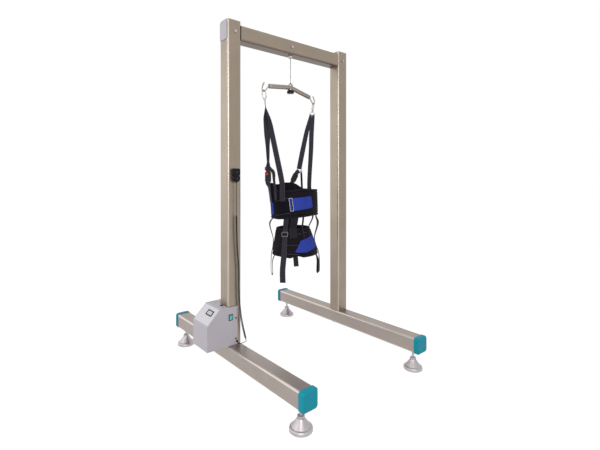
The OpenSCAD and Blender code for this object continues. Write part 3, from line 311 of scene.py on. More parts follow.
def tinted(tree, one, other):
    """Two colours multiplied, which darkens each by the other."""
    return add(tree, "ShaderNodeMix", {"data_type": "RGBA", "blend_type": "MULTIPLY", 0: 1.0},
               {6: one, 7: other}).outputs[2]


def spread(tree, factor, low, high):
    """A number that goes from low to high as the factor goes from 0 to 1."""
    return add(tree, "ShaderNodeMapRange", {3: low, 4: high}, {0: factor}).outputs[0]


def maths(tree, operation, *values):
    """The result of one operation. Each value is a number or another node's output."""
    fixed = {i: value for i, value in enumerate(values) if isinstance(value, (int, float))}
    linked = {i: value for i, value in enumerate(values) if i not in fixed}
    return add(tree, "ShaderNodeMath", {"operation": operation, **fixed}, linked).outputs[0]


def noise(tree, place, scale, detail=2.0, rough=0.5):
    """Soft random patches from 0 to 1, about scale of them in a metre."""
    return add(tree, "ShaderNodeTexNoise", {"Scale": scale, "Detail": detail, "Roughness": rough},
               {"Vector": place}).outputs[0]


def waves(tree, place, way, scale, distortion=0.0):
    """Waves from 0 to 1. Each is 314 mm / scale long, and twice that along a diagonal's axes."""
    return add(tree, "ShaderNodeTexWave",
               {"wave_type": "BANDS", "bands_direction": way, "Scale": scale,
                "Distortion": distortion, "Detail": 1.0}, {"Vector": place}).outputs["Fac"]


def link_up(tree, shader, colour, rough=None, bump=None):
    """Links a colour, a roughness and a bump, given as height, strength and depth in metres."""
    tree.links.new(colour, shader.inputs["Base Color"])
    if rough is not None:
        tree.links.new(rough, shader.inputs["Roughness"])
    if bump is not None:
        height, strength, depth = bump
        relief = add(tree, "ShaderNodeBump", {"Strength": strength, "Distance": depth},
                     {"Height": height})
        tree.links.new(relief.outputs[0], shader.inputs["Normal"])


# %% [markdown]
# ## Brushed stainless steel
# The tubes are grade 304, ground along their length with a fine belt. The eye sees long faint
# lines, a soft wide highlight and slightly warm grey. A noise stretched 80 times along the
# tube gives the lines. The real scratches are about 0.1 mm apart and would vanish, so they
# are drawn about 1.5 mm apart. The rolled corners carry a painted highlight, a lighter tone than
# the flats, placed by a mask from the surface's own slope. The beam's corners get less light and
# carry painted shade, a darker tone. Faces that look down carry painted shade, a darker tone
# placed by a second mask.

# %% Brushed steel
GRAIN_ACROSS, GRAIN_ALONG = 650.0, 8.0
CORNER_FROM, CORNER_FULL = 0.1, 0.45
UNDER_FROM, UNDER_FULL = -0.5, -0.9
# The tone of painted shade on faces that look down.
UNDERSIDE_SHADE_TONE = "75675d"


def corner_light_mask(tree):
    """1 where a tube's corner turns halfway between two of its faces, 0 on the faces: where the
    painted corner highlight and shade go.
    """
    slope = add(tree, "ShaderNodeTexCoord").outputs["Normal"]
    x, y, z = add(tree, "ShaderNodeSeparateXYZ", {}, {0: slope}).outputs
    slants = [maths(tree, "ABSOLUTE", maths(tree, "MULTIPLY", a, b))
              for a, b in ((x, y), (y, z), (x, z))]
    most = maths(tree, "MAXIMUM", maths(tree, "MAXIMUM", slants[0], slants[1]), slants[2])
    return add(tree, "ShaderNodeMapRange", {1: CORNER_FROM, 2: CORNER_FULL},
               {0: most}).outputs[0]


def underside_shade_mask(tree):
    """1 on faces that look straight down, 0 on level and upright ones: where painted shade goes.
    """
    slope = add(tree, "ShaderNodeTexCoord").outputs["Normal"]
    height = add(tree, "ShaderNodeSeparateXYZ", {}, {0: slope}).outputs[2]
    return add(tree, "ShaderNodeMapRange", {1: UNDER_FROM, 2: UNDER_FULL},
               {0: height}).outputs[0]


def brushed_steel(name, axis, tone="a09487", rough=0.36, corner_light_tone="b8aea3"):
    made, tree, shader, place = new_finish(name, Metallic=0.9)
    scale = [GRAIN_ACROSS] * 3
    scale[axis] = GRAIN_ALONG
    stretched = add(tree, "ShaderNodeMapping", {"Scale": scale}, {"Vector": place}).outputs[0]
    grain = noise(tree, stretched, 1.0, rough=0.65)
    lines = between(tree, grain, linear(tone, 0.86), linear(tone, 1.14))
    # The corner tone is a painted highlight on the upright, foot and spreader, and painted shade
    # on the beam.
    lines = between(tree, corner_light_mask(tree), lines, linear(corner_light_tone))
    # Faces that look down take painted shade.
    lines = between(tree, underside_shade_mask(tree), lines, linear(UNDERSIDE_SHADE_TONE))
    clouds = between(tree, noise(tree, place, 5.0, 3.0), linear("e6e2de"), linear("ffffff"))
    link_up(tree, shader, tinted(tree, lines, clouds),
            spread(tree, grain, rough - 0.06, rough + 0.08), (grain, 0.12, 0.0003))
    return made


# The upright, foot and spreader corners carry a painted highlight, the beam's corners painted
# shade.
steel_up = brushed_steel("stainless_brushed_upright", 2)
steel_across = brushed_steel("stainless_brushed_beam", 0, corner_light_tone="867a6e")
# The foot's tone is lighter and greyer than the upright's: painted light on the same steel.
steel_deep = brushed_steel("stainless_brushed_foot_lit_tone", 1, tone="a79d98", corner_light_tone="d2cac4")
arm_steel = brushed_steel("steel_satin_spreader", 0, tone="8f878b", rough=0.4)

# %% [markdown]
# ## Bright and cast metal
# Hooks, snaps and rings are polished or chromed steel: nearly a mirror, with handling marks.
# The levelling feet, bolts and axles are zinc plated and duller, the gearbox, the drum and the
# pulleys are cast.

# %% Polished, plated and cast metal
def polished(name, tone, rough, marks=0.08, grit=900.0):
    """Marks is how far the roughness varies with wear, grit the fine bumps' scale."""
    made, tree, shader, place = new_finish(name, Metallic=1.0)
    worn = noise(tree, place, 60.0, 4.0, 0.7)
    link_up(tree, shader, between(tree, worn, linear(tone, 0.88), linear(tone)),
            spread(tree, worn, rough - marks / 2, rough + marks),
            (noise(tree, place, grit), 0.06, 0.0002))
    return made


chrome = polished("chromed_steel", "a29e9b", 0.16)
zinc = polished("zinc_plated_steel", "bab4b7", 0.42, marks=0.12)
satin_nickel = polished("satin_nickel_wire", "8b8688", 0.38)
cast_metal = polished("die_cast_aluminium", "9a9a9c", 0.5, marks=0.15, grit=400.0)

# %% [markdown]
# ## Wire rope inside the gantry
# The long run keeps its plain solid. Its material draws slanting bands for the strands, 13 mm
# apart along it, where the real strands are 6.5 mm apart.

# %% Rope finish
def rope_finish(name):
    made, tree, shader, place = new_finish(name, Metallic=0.9, Roughness=0.36)
    lay = waves(tree, place, "DIAGONAL", 48.0)
    link_up(tree, shader, between(tree, lay, linear("8f8e90"), linear("d4d2d0")),
            bump=(lay, 0.5, 0.0006))
    return made


rope_steel = rope_finish("galvanised_wire_rope")
strand_steel = polished("drawn_wire_strand", "a9a6a6", 0.3)

# %% [markdown]
# ## Painted sheet and moulded plastics
# The box is steel sheet with a textured powder coat: pale lilac grey, a fine orange peel and
# a soft sheen. The end caps are moulded nylon, the handset and the switch frame grained ABS.
# The same recipe serves all of them: a colour that varies a little, fine bumps from a noise
# of the grain's real size, and a roughness that varies with wear.

# %% Coated and moulded finishes
FADE = 0.06


def moulded(name, tone, rough, grain_mm, depth=0.15, **shader_values):
    made, tree, shader, place = new_finish(name, **shader_values)
    faded = noise(tree, place, 7.0, 4.0, 0.6)
    link_up(tree, shader, between(tree, faded, linear(tone, 1 - FADE), linear(tone, 1 + FADE)),
            spread(tree, faded, rough - 0.05, rough + 0.07),
            (noise(tree, place, 1000 / grain_mm), depth, 0.0004))
    return made


cover_paint = moulded("powder_coat_lilac_grey", "b9b4bb", rough=0.42, grain_mm=1.6)
panel_film = moulded("panel_polyester_film", "d3d1d8", rough=0.34, grain_mm=0.8, depth=0.06)
teal_nylon = moulded("moulded_nylon_teal", "1492a6", rough=0.38, grain_mm=1.4, depth=0.12,
                     Specular_IOR_Level=0.14)
black_abs = moulded("moulded_abs_black", "15131a", rough=0.42, grain_mm=1.0,
                    Specular_IOR_Level=0.15)
white_acetal = moulded("acetal_white", "dcdbdc", rough=0.35, grain_mm=1.0, depth=0.05)
key_rubber = moulded("silicone_rubber_dark", "29262d", rough=0.5, grain_mm=0.8, depth=0.05,
                     Specular_IOR_Level=0.25)
switch_plastic = moulded("polycarbonate_turquoise", "3fc9b6", rough=0.22, grain_mm=2.0,
                         depth=0.03)
red_abs = moulded("moulded_abs_red", "b8100c", rough=0.35, grain_mm=1.2, depth=0.08,
                  Specular_IOR_Level=0.2)
cord_jacket = moulded("polyurethane_cord_jacket", "18181c", rough=0.4, grain_mm=0.8,
                      depth=0.08, Specular_IOR_Level=0.25)
circuit_board = moulded("glass_epoxy_board", "1f6b3c", rough=0.35, grain_mm=2.5, depth=0.1)

# %% [markdown]
# ## The display window
# A liquid crystal window behind clear acrylic, off: pale grey with a faint green and a very
# smooth surface. Fine rows, 2 mm apart, show that something lies behind it.

# %% Display
def display_window(name):
    made, tree, shader, place = new_finish(name, Roughness=0.12, Coat_Weight=0.6,
                                           Coat_Roughness=0.05)
    rows = waves(tree, place, "Y", 160.0)
    link_up(tree, shader, between(tree, rows, linear("b4b8b8"), linear("c3c6c8")))
    return made


window = display_window("lcd_window_acrylic")

# %% Materials onto the frame's nodes
node_finishes = {
    steel_up: ["motor_upright", "far_upright"],
    steel_across: ["top_beam"],
    steel_deep: ["motor_foot_beam", "far_foot_beam"],
    arm_steel: ["spreader_bar"],
    teal_nylon: ["motor_front_cap", "motor_back_cap", "far_front_cap", "far_back_cap"],
    zinc: ["motor_front_foot", "motor_back_foot", "far_front_foot", "far_back_foot",
           "frame_bolts", "corner_axle", "centre_axle", "drum_brackets"],
    chrome: ["spreader_hooks", "left_snap_hook", "right_snap_hook", "left_snap_gate",
             "right_snap_gate", "strap_rings"],
    satin_nickel: ["belt_slides"],
    cast_metal: ["gearbox", "winch_drum", "corner_pulley", "centre_pulley"],
    rope_steel: ["lift_cable_run", "lift_cable_drop"],
    cover_paint: ["motor_cover", "motor_base_plate", "pulley_cover"],
    panel_film: ["control_panel"],
    black_abs: ["display_frame", "cover_screws", "rocker_frame", "hoist_motor", "mains_inlet",
                "handset_holder", "handset", "cord_gland", "cable_swivel", "buckles"],
    white_acetal: ["cable_bush"],
    key_rubber: ["up_button", "down_button"],
    switch_plastic: ["power_rocker"],
    red_abs: ["red_button"],
    circuit_board: ["control_board"],
    window: ["display_glass"],
    cord_jacket: ["handset_lead", "curly_cord", "tail_lead"],
}


def dress(piece, finish):
    piece.data.materials.clear()
    piece.data.materials.append(finish)


for finish, names in node_finishes.items():
    for name in names:
        dress(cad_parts[name], finish)
dress(handset_cord, cord_jacket)
dress(hoist_rope, strand_steel)
dress(rope_core, strand_steel)
print("dressed", sum(len(names) for names in node_finishes.values()), "nodes")

# %% [markdown]
# ## Cloth and webbing
# The vest and the belt are foam in coarse nylon cloth. The straps are nylon webbing, woven
# with a rib across its width. Straps carry their own UV map in metres, from the nearer edge
# and along the length, so rib and stitches follow each bend. A rib is 1.6 mm in the real
# webbing and drawn 2.2 mm. The stitch rows lie 3.5 mm from each edge.

# %% Pack cloth
def pack_cloth(name, tone, thread_mm=1.4, depth=0.35):
    """Plain woven cloth. One wave of the weave takes two threads, one over and one under."""
    made, tree, shader, place = new_finish(name, Specular_IOR_Level=0.12, Sheen_Weight=0.03,
                                           Sheen_Roughness=0.4)
    upright, *level = [waves(tree, place, way, 1000 / thread_mm / 6.3, 0.4) for way in "ZXY"]
    weave = maths(tree, "MULTIPLY", upright, maths(tree, "MAXIMUM", *level))
    threads = between(tree, weave, linear(tone, 0.8), linear(tone, 1.3))
    worn = between(tree, noise(tree, place, 14.0, 4.0, 0.6), linear("d8d4dc"), linear("ffffff"))
    link_up(tree, shader, tinted(tree, threads, worn), spread(tree, weave, 0.85, 0.68),
            (weave, depth, 0.0005))
    return made


pad_cloth = pack_cloth("nylon_pack_cloth_black", "17131b")
blue_cloth = pack_cloth("nylon_pack_cloth_blue", "364bb0", thread_mm=1.2)
loop_cloth = pack_cloth("loop_tape_black", "0a0710", thread_mm=0.9, depth=0.2)
seam_thread = pack_cloth("polyester_thread_grey", "5b5864", thread_mm=3.0, depth=0.3)


# %% Webbing
RIB, WARP = 0.0022, 0.0016
STITCH_IN, STITCH_HALF_WIDTH = 0.0035, 0.0006
STITCH_STEP, STITCH_LENGTH = 0.0045, 0.0031


def webbing_finish(name, tone, thread):
    made, tree, shader, _ = new_finish(name, Specular_IOR_Level=0.2, Sheen_Weight=0.04,
                                       Sheen_Roughness=0.35)
    uv = add(tree, "ShaderNodeUVMap", {"uv_map": "strap"}).outputs[0]
    edge, run, _ = add(tree, "ShaderNodeSeparateXYZ", {}, {0: uv}).outputs
    rib = maths(tree, "SINE", maths(tree, "MULTIPLY", run, 2 * math.pi / RIB))
    warp = maths(tree, "SINE", maths(tree, "MULTIPLY", edge, 2 * math.pi / WARP))
    weave = maths(tree, "MULTIPLY_ADD", maths(tree, "MULTIPLY", rib, warp), 0.5, 0.5)
    row = maths(tree, "COMPARE", edge, STITCH_IN, STITCH_HALF_WIDTH)
    dash = maths(tree, "LESS_THAN", maths(tree, "MODULO", run, STITCH_STEP), STITCH_LENGTH)
    stitch = maths(tree, "MULTIPLY", row, dash)
    woven = between(tree, weave, linear(tone, 0.75), linear(tone, 1.3))
    raised = maths(tree, "MULTIPLY_ADD", stitch, 0.8, weave)
    link_up(tree, shader, between(tree, stitch, woven, linear(thread)),
            spread(tree, weave, 0.72, 0.52), (raised, 0.4, 0.0005))
    return made


strap_webbing = webbing_finish("nylon_webbing_black", "2a2530", "4c4854")
link_webbing = webbing_finish("nylon_webbing_deep_black", "141018", "2c2832")

# %% [markdown]
# ## The harness's own frame
# The spreader hangs turned by 12.5 degrees, and the harness with it. Its points are written
# in millimetres in that turned frame, with Z from the floor, and one function brings them to
# the gantry's frame in metres. The vest is an oval tube and the hip belt a cone, each one
# function of a direction, a height and a distance off its outer face. The tables give rows of
# a direction in degrees and a height, or the vest's lean outwards LEAN_REACH above LEAN_FROM.
# BELT_TOP and BELT_LOW are an oval's middle, its two half sizes and its height.

# %% Harness frame
HANG_TURN = math.radians(12.5)


def hung(points):
    p = np.asarray(points, float)
    x, y, z = p[..., 0], p[..., 1], p[..., 2]
    c, s = math.cos(HANG_TURN), math.sin(HANG_TURN)
    return np.stack([ROPE_AXIS[0] + x * c - y * s, ROPE_AXIS[1] + x * s + y * c, z],
                    axis=-1) / 1000


PAD_T = 14.0
VEST_MID, VEST_A, VEST_B = (19, -25), 188.0, 163.0
VEST_TOP = [[-180, 1198], [-150, 1204], [-121, 1215], [-80, 1209], [-20, 1207], [20, 1211]]
VEST_TOP += [[35, 1240], [48, 1256], [68, 1256], [90, 1244], [120, 1244], [142, 1256],
             [166, 1256], [174, 1222], [180, 1198]]
VEST_FOOT = [[-180, 1004], [-135, 1016], [-86, 1026], [0, 1020], [90, 1010], [180, 1004]]
VEST_LEAN = [[-180, 8], [-150, 0], [-70, 0], [-25, -18], [20, -18], [60, 0], [110, 0]]
VEST_LEAN += [[140, 20], [160, 26], [180, 8]]
LEAN_FROM, LEAN_REACH = 1052, 198
BELT_TOP, BELT_LOW = (11, -15, 135.0, 115.0, 934.0), (21, -28, 183.0, 158.0, 745.0)
BELT_FOOT = [[-180, 746], [-150, 738], [-133, 754], [-117, 740], [0, 744], [180, 746]]


def look_up(angle, table):
    return np.interp(angle, [row[0] for row in table], [row[1] for row in table])


def one_turn(angle):
    """The same direction between -180 and 180 degrees."""
    return (np.asarray(angle, float) + 180) % 360 - 180


def vest_at(angle, z, off):
    """A point on the vest: its angle in degrees, its height, and how far off the outer face."""
    angle, z, off = np.broadcast_arrays(*(np.asarray(v, float) for v in (angle, z, off)))
    lean = look_up(one_turn(angle), VEST_LEAN) * np.clip((z - LEAN_FROM) / LEAN_REACH, 0, None)
    a = np.radians(angle)
    return np.stack([VEST_MID[0] + (VEST_A + off + lean) * np.cos(a),
                     VEST_MID[1] + (VEST_B + off + lean) * np.sin(a), z], axis=-1)


def belt_at(angle, z, off):
    """The same on the hip belt, which is a cone between two ovals."""
    angle, z, off = np.broadcast_arrays(*(np.asarray(v, float) for v in (angle, z, off)))
    t = (z - BELT_LOW[4]) / (BELT_TOP[4] - BELT_LOW[4])
    x, y, wide, deep = (BELT_LOW[k] + t * (BELT_TOP[k] - BELT_LOW[k]) for k in range(4))
    a = np.radians(angle)
    return np.stack([x + (wide + off) * np.cos(a), y + (deep + off) * np.sin(a), z], axis=-1)


def vest_edges(angle):
    return look_up(angle, VEST_FOOT), look_up(angle, VEST_TOP)


def belt_edges(angle):
    return look_up(angle, BELT_FOOT), np.full(np.shape(angle), BELT_TOP[4])


print("vest front", np.round(hung(vest_at(-116, 1110, 0)), 3))

# %% [markdown]
# ## Padded bands
# Vest and hip belt are foam sheets in cloth, bound at the rims and sewn through in upright
# channels, 30 and 36 degrees apart, and in level rows. A torus is the start: its long way
# round becomes the band's angle, its short way the band's section. The band starts a little
# thin, is remeshed evenly and blown up by the cloth simulation, as filling pushes its cover
# out. Channels and rim tape come after, since remeshing would erase them.

# %% Band from a torus
EMPTY_T, EMPTY_INSET = PAD_T - 4, 3


def torus(name, segments, sides):
    """A torus, with each vertex's direction in degrees and its place round the section."""
    clear_choice()
    bpy.ops.mesh.primitive_torus_add(major_radius=1, minor_radius=0.25, major_segments=segments,
                                     minor_segments=sides)
    piece = bpy.context.object
    piece.name = piece.data.name = name
    at = coordinates(piece)
    return (piece, np.degrees(np.arctan2(at[:, 1], at[:, 0])),
            np.arctan2(at[:, 2], np.hypot(at[:, 0], at[:, 1]) - 1))


def squarer(value, power):
    """A sine or cosine drawn towards 1 or -1, which makes a round section squarer."""
    return np.sign(value) * np.abs(value) ** power


def padded_band(name, surface, edges):
    band, around, section = torus(name, 192, 20)
    out, up = squarer(np.cos(section), 0.6), squarer(np.sin(section), 0.5)
    low, high = edges(around)
    z = (low + high) / 2 + up * ((high - low) / 2 - EMPTY_INSET)
    move_to(band, hung(surface(around, z, out * EMPTY_T / 2 - PAD_T / 2)))
    return band


# %% Filling by cloth simulation
VOXEL = 0.005
FILL_FRAMES, FILL_PRESSURE, FILL_MOST = 20, 4, 4


def fill_with_foam(piece):
    """Even mesh, then frames of pressure, with each point's way held to FILL_MOST mm."""
    even = piece.modifiers.new("even", "REMESH")
    even.mode, even.voxel_size = "VOXEL", VOXEL
    apply_all(piece)
    before = coordinates(piece)
    cloth = piece.modifiers.new("filling", "CLOTH")
    cloth.settings.use_pressure = True
    cloth.settings.uniform_pressure_force = FILL_PRESSURE
    cloth.settings.effector_weights.gravity = 0
    cloth.point_cache.frame_start, cloth.point_cache.frame_end = 1, FILL_FRAMES
    for number in range(1, FILL_FRAMES + 1):
        bpy.context.scene.frame_set(number)
    apply_all(piece)
    bpy.context.scene.frame_set(1)
    way = coordinates(piece) - before
    far = np.linalg.norm(way, axis=1, keepdims=True)
    move_to(piece, before + way * np.minimum(1, FILL_MOST / 1000 / np.maximum(far, 1e-9)))
    finer = piece.modifiers.new("finer", "SUBSURF")
    finer.levels = finer.render_levels = 1
    apply_all(piece)
    print(piece.name, "moved up to", round(float(far.max()) * 1000, 1), "mm",
          len(piece.data.polygons), "faces")


def local_angle(piece, mid):
    """Angle in degrees round mid, and height in mm, of each vertex in the harness frame."""
    at = coordinates(piece) * 1000 - [*ROPE_AXIS, 0]
    c, s = math.cos(HANG_TURN), math.sin(HANG_TURN)
    x, y = at[:, 0] * c + at[:, 1] * s, at[:, 1] * c - at[:, 0] * s
    return np.degrees(np.arctan2(y - mid[1], x - mid[0])), at[:, 2]


def draw_in(piece, depth_mm):
    """Moves each vertex inwards along its normal by its own depth."""
    normals = np.zeros(len(piece.data.vertices) * 3)
    piece.data.vertices.foreach_get("normal", normals)
    move_to(piece, coordinates(piece) - normals.reshape(-1, 3) * depth_mm[:, None] / 1000)


# %% Vest and hip belt
GROOVE_DEPTH, CHANNEL_WIDTH, ROW_WIDTH = 2.2, 3.5, 3.0
VEST_R, BELT_R, BELT_MID = 175, 155, (16, -21)


def sew_channels(piece, mid, radius, angles, rows):
    """Grooves at upright channels and along level rows of stitches."""
    angle, z = local_angle(piece, mid)
    groove = np.zeros(len(z))
    for channel in angles:
        gap = np.radians(one_turn(angle - channel)) * radius
        groove = np.maximum(groove, np.exp(-(gap / CHANNEL_WIDTH) ** 2))
    for row in rows:
        groove = np.maximum(groove, 0.8 * np.exp(-((z - row(angle)) / ROW_WIDTH) ** 2))
    draw_in(piece, groove * GROOVE_DEPTH)


vest_body = padded_band("vest_body", vest_at, vest_edges)
fill_with_foam(vest_body)
sew_channels(vest_body, VEST_MID, VEST_R, range(-165, 180, 30),
             [lambda a: look_up(a, VEST_FOOT) + 16, lambda a: look_up(a, VEST_TOP) - 16])
belt_body = padded_band("belt_body", belt_at, belt_edges)
fill_with_foam(belt_body)
sew_channels(belt_body, BELT_MID, BELT_R, range(-162, 180, 36),
             [lambda a: look_up(a, BELT_FOOT) + 14, lambda a: 920 + 0 * a,
              lambda a: 873 + 0 * a])
for piece, node in ((vest_body, "vest"), (belt_body, "pelvic_belt")):
    smooth(piece, 80)
    dress(piece, pad_cloth)
    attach(piece, "harness")
    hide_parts(node)

# %% [markdown]
# ## Rim tape
# A grosgrain tape is folded over each rim and sewn through. It hides the raw foam edge. One
# torus a rim is enough: its short way round becomes the folded tape's flattened section.

# %% Rims
TAPE_HIGH, TAPE_THICK = 7.0, 6.0


def rim_tape(name, surface, rim):
    """A tape folded over a rim. Its section is twice TAPE_HIGH by twice TAPE_THICK."""
    tape, around, section = torus(name, 200, 12)
    z = rim(around) + TAPE_HIGH * squarer(np.sin(section), 0.8)
    move_to(tape, hung(surface(around, z, TAPE_THICK * np.cos(section) - PAD_T / 2)))
    smooth(tape, 60)
    return tape


rims = [rim_tape("vest_top_tape", vest_at, lambda a: look_up(a, VEST_TOP) - 6),
        rim_tape("vest_foot_tape", vest_at, lambda a: look_up(a, VEST_FOOT) + 6),
        rim_tape("belt_top_tape", belt_at, lambda a: 928 + 0 * a),
        rim_tape("belt_foot_tape", belt_at, lambda a: look_up(a, BELT_FOOT) + 6)]
tape_cloth = pack_cloth("grosgrain_tape_black", "1d1922", thread_mm=1.8, depth=0.5)
for tape in rims:
    dress(tape, tape_cloth)
    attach(tape, "harness")

# %% [markdown]
# ## Sewn-on blue panels
# Two blue cloth panels mark the front of the vest and the hip belt, and a small one sits
# under the left shoulder strap. A deep black band of hook and loop tape closes the vest between
# them. Each of these is a sheet on the band, turned under and stitched along its edge. A narrow
# black strip inside the front slide is painted shade in the slide's slot. A grid is laid on the
# band's surface and given its thickness. Its middle swells by 0.8 mm, and its corners are cut
# by 6 % of its height.

# %% Panels on a band
EDGE_BEVEL = 0.0005
CORNER_CUT, CORNER_RUN = 0.06, 14
CROWN, CROWN_RUN = 0.8, 12
PANEL_OFF, PANEL_T = 1.1, 1.4


def grid(name, columns, rows):
    """A flat grid, with each vertex's place along and across it, from -0.5 to 0.5."""
    clear_choice()
    bpy.ops.mesh.primitive_grid_add(x_subdivisions=columns, y_subdivisions=rows, size=1)
    sheet = bpy.context.object
    sheet.name = sheet.data.name = name
    at = coordinates(sheet)
    return sheet, at[:, 0], at[:, 1]


def thicken(sheet, thick):
    """Gives a sheet its thickness in mm, half to each side, and a fine bevel."""
    wall = sheet.modifiers.new("wall", "SOLIDIFY")
    wall.thickness, wall.offset = thick / 1000, 0
    edge = sheet.modifiers.new("edge", "BEVEL")
    edge.width, edge.segments, edge.limit_method = EDGE_BEVEL, 2, "ANGLE"
    apply_all(sheet)


def lay_panel(name, surface, start, end, low, high, off, thick, columns=40, rows=10, lean=0):
    """A sheet on a band between two angles, whose low and high edges go by tables. Lean is how
    many degrees its top lies ahead of its foot."""
    sheet, along, across = grid(name, columns, rows)
    u, v = along + 0.5, across + 0.5
    to_end, to_rim = np.minimum(u, 1 - u), np.minimum(v, 1 - v)
    round_off = CORNER_CUT * np.clip(1 - to_end * CORNER_RUN, 0, 1) ** 2
    angle = start + (end - start) * u
    foot, top = look_up(angle, low), look_up(angle, high)
    angle = angle + lean * (v - 0.5)
    z = foot + (top - foot) * (v + (0.5 - v) * 2 * round_off)
    crown = CROWN * np.minimum(1, CROWN_RUN * np.minimum(to_end, to_rim))
    move_to(sheet, hung(surface(angle, z, off + crown)))
    thicken(sheet, thick)
    outwards(sheet)
    smooth(sheet, 50)
    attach(sheet, "harness")
    return sheet


panels = [lay_panel("vest_blue_panel", vest_at, -149, -94, [[-150, 1061], [-94, 1083]],
                    [[-150, 1149], [-94, 1165]], PANEL_OFF, PANEL_T, lean=-4),
          lay_panel("shoulder_blue_panel", vest_at, 148, 165, [[148, 1032], [165, 1034]],
                    [[148, 1116], [165, 1119]], PANEL_OFF, PANEL_T, columns=20),
          lay_panel("belt_blue_panel", belt_at, -136, -51,
                    [[-136, 776], [-108, 772], [-50, 803]],
                    [[-136, 786], [-119, 853], [-50, 889]], PANEL_OFF, PANEL_T, columns=60)]
for panel in panels:
    dress(panel, blue_cloth)
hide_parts("blue_panels")
LOOP_OFF, LOOP_T, SLOT_SHADE_OFF = 1.0, 1.2, 2.6
loop_band = lay_panel("front_loop_band", vest_at, -192, -152, [[-192, 1036], [-152, 1060]],
                      [[-192, 1122], [-152, 1148]], LOOP_OFF, LOOP_T, lean=-3)
# A black strip inside the front slide: painted shade in its slot.
slide_shade_strip = lay_panel("vest_slide_shade_strip", vest_at, -145.4, -142.6,
                      [[-150, 1069], [-140, 1071]], [[-150, 1147], [-140, 1150]],
                      SLOT_SHADE_OFF, LOOP_T, columns=4, lean=-4)
for dark in (loop_band, slide_shade_strip):
    dress(dark, loop_cloth)

# %% [markdown]
# ## Stitched seams
# Rows of grey thread hold the band and the belt's layers. A real row is 1 mm wide and stands
# 0.4 mm proud. Each is drawn as a narrow strip on the band, 2.2 mm wide so that it is seen.

# %% Rows of thread
SEAM_WIDTH, SEAM_OFF, SEAM_T = 2.2, 1.6, 0.8
seam_rows = {
    "vest_band_top_seam": (vest_at, -190, -150, [[-190, 1126], [-150, 1152]]),
    "vest_band_foot_seam": (vest_at, -190, -148, [[-190, 1030], [-148, 1050]]),
    "belt_upper_seam": (belt_at, -176, -112, [[-176, 902], [-112, 897]]),
    "belt_middle_seam": (belt_at, -176, -112, [[-176, 826], [-112, 822]]),
    "belt_lower_seam": (belt_at, -176, -128, [[-176, 768], [-128, 762]]),
    "belt_tongue_seam": (belt_at, -110, -92, [[-110, 905], [-92, 903]]),
}
for name, (surface, start, end, height) in seam_rows.items():
    upper = [[angle, z + SEAM_WIDTH] for angle, z in height]
    row = lay_panel(name, surface, start, end, height, upper, SEAM_OFF, SEAM_T, rows=2)
    dress(row, seam_thread)
print("seams", len(seam_rows))

# %% [markdown]
# ## Webbing straps
# Each strap is a flat ribbon that follows its route and turns about it. A grid becomes the
# ribbon: its long way follows the smooth curve, its short way the strap's width. Solidify
# gives it 2 mm, a small bevel its woven edge. The UV map is written in the same step. Each
# route gives its points, its width at each of them, and its turn about the upright in degrees.

# %% Strap from a grid
WEB_T, WEB_COLUMNS, WEB_STEP, WEB_CAMBER = 2.0, 8, 5.0, 0.4


def strap(name, points, widths, turns):
    """A webbing ribbon along route points, with its width and its turn at each of them."""
    count = max(12, int(length_of(np.array(points)) / WEB_STEP))
    centre, ts = even_curve(points, count + 1)
    stops = np.linspace(0, 1, len(points))
    wide, turn = np.interp(ts, stops, widths), np.radians(np.interp(ts, stops, turns))
    ribbon, along, side = grid(name, count, WEB_COLUMNS)
    row = np.rint((along + 0.5) * count).astype(int)
    ahead = np.gradient(centre, axis=0)
    ahead /= np.linalg.norm(ahead, axis=1, keepdims=True)
    flat = np.stack([np.cos(turn), np.sin(turn), np.zeros(len(turn))], axis=1)
    flat -= (flat * ahead).sum(axis=1, keepdims=True) * ahead
    flat /= np.linalg.norm(flat, axis=1, keepdims=True)
    face = np.cross(ahead, flat)
    camber = WEB_CAMBER * (1 - (2 * side) ** 2)
    move_to(ribbon, hung(centre[row] + flat[row] * (side * wide[row])[:, None]
                         + face[row] * camber[:, None]))
    from_edge = (0.5 - np.abs(side)) * wide[row]
    uv = np.stack([from_edge, run_along(centre)[row]], axis=1)
    corner = np.zeros(len(ribbon.data.loops), int)
    ribbon.data.loops.foreach_get("vertex_index", corner)
    layer = ribbon.data.uv_layers[0]
    layer.name = "strap"
    layer.data.foreach_set("uv", uv[corner].ravel() / 1000)
    thicken(ribbon, WEB_T)
    smooth(ribbon, 50)
    dress(ribbon, strap_webbing)
    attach(ribbon, "harness")
    return ribbon


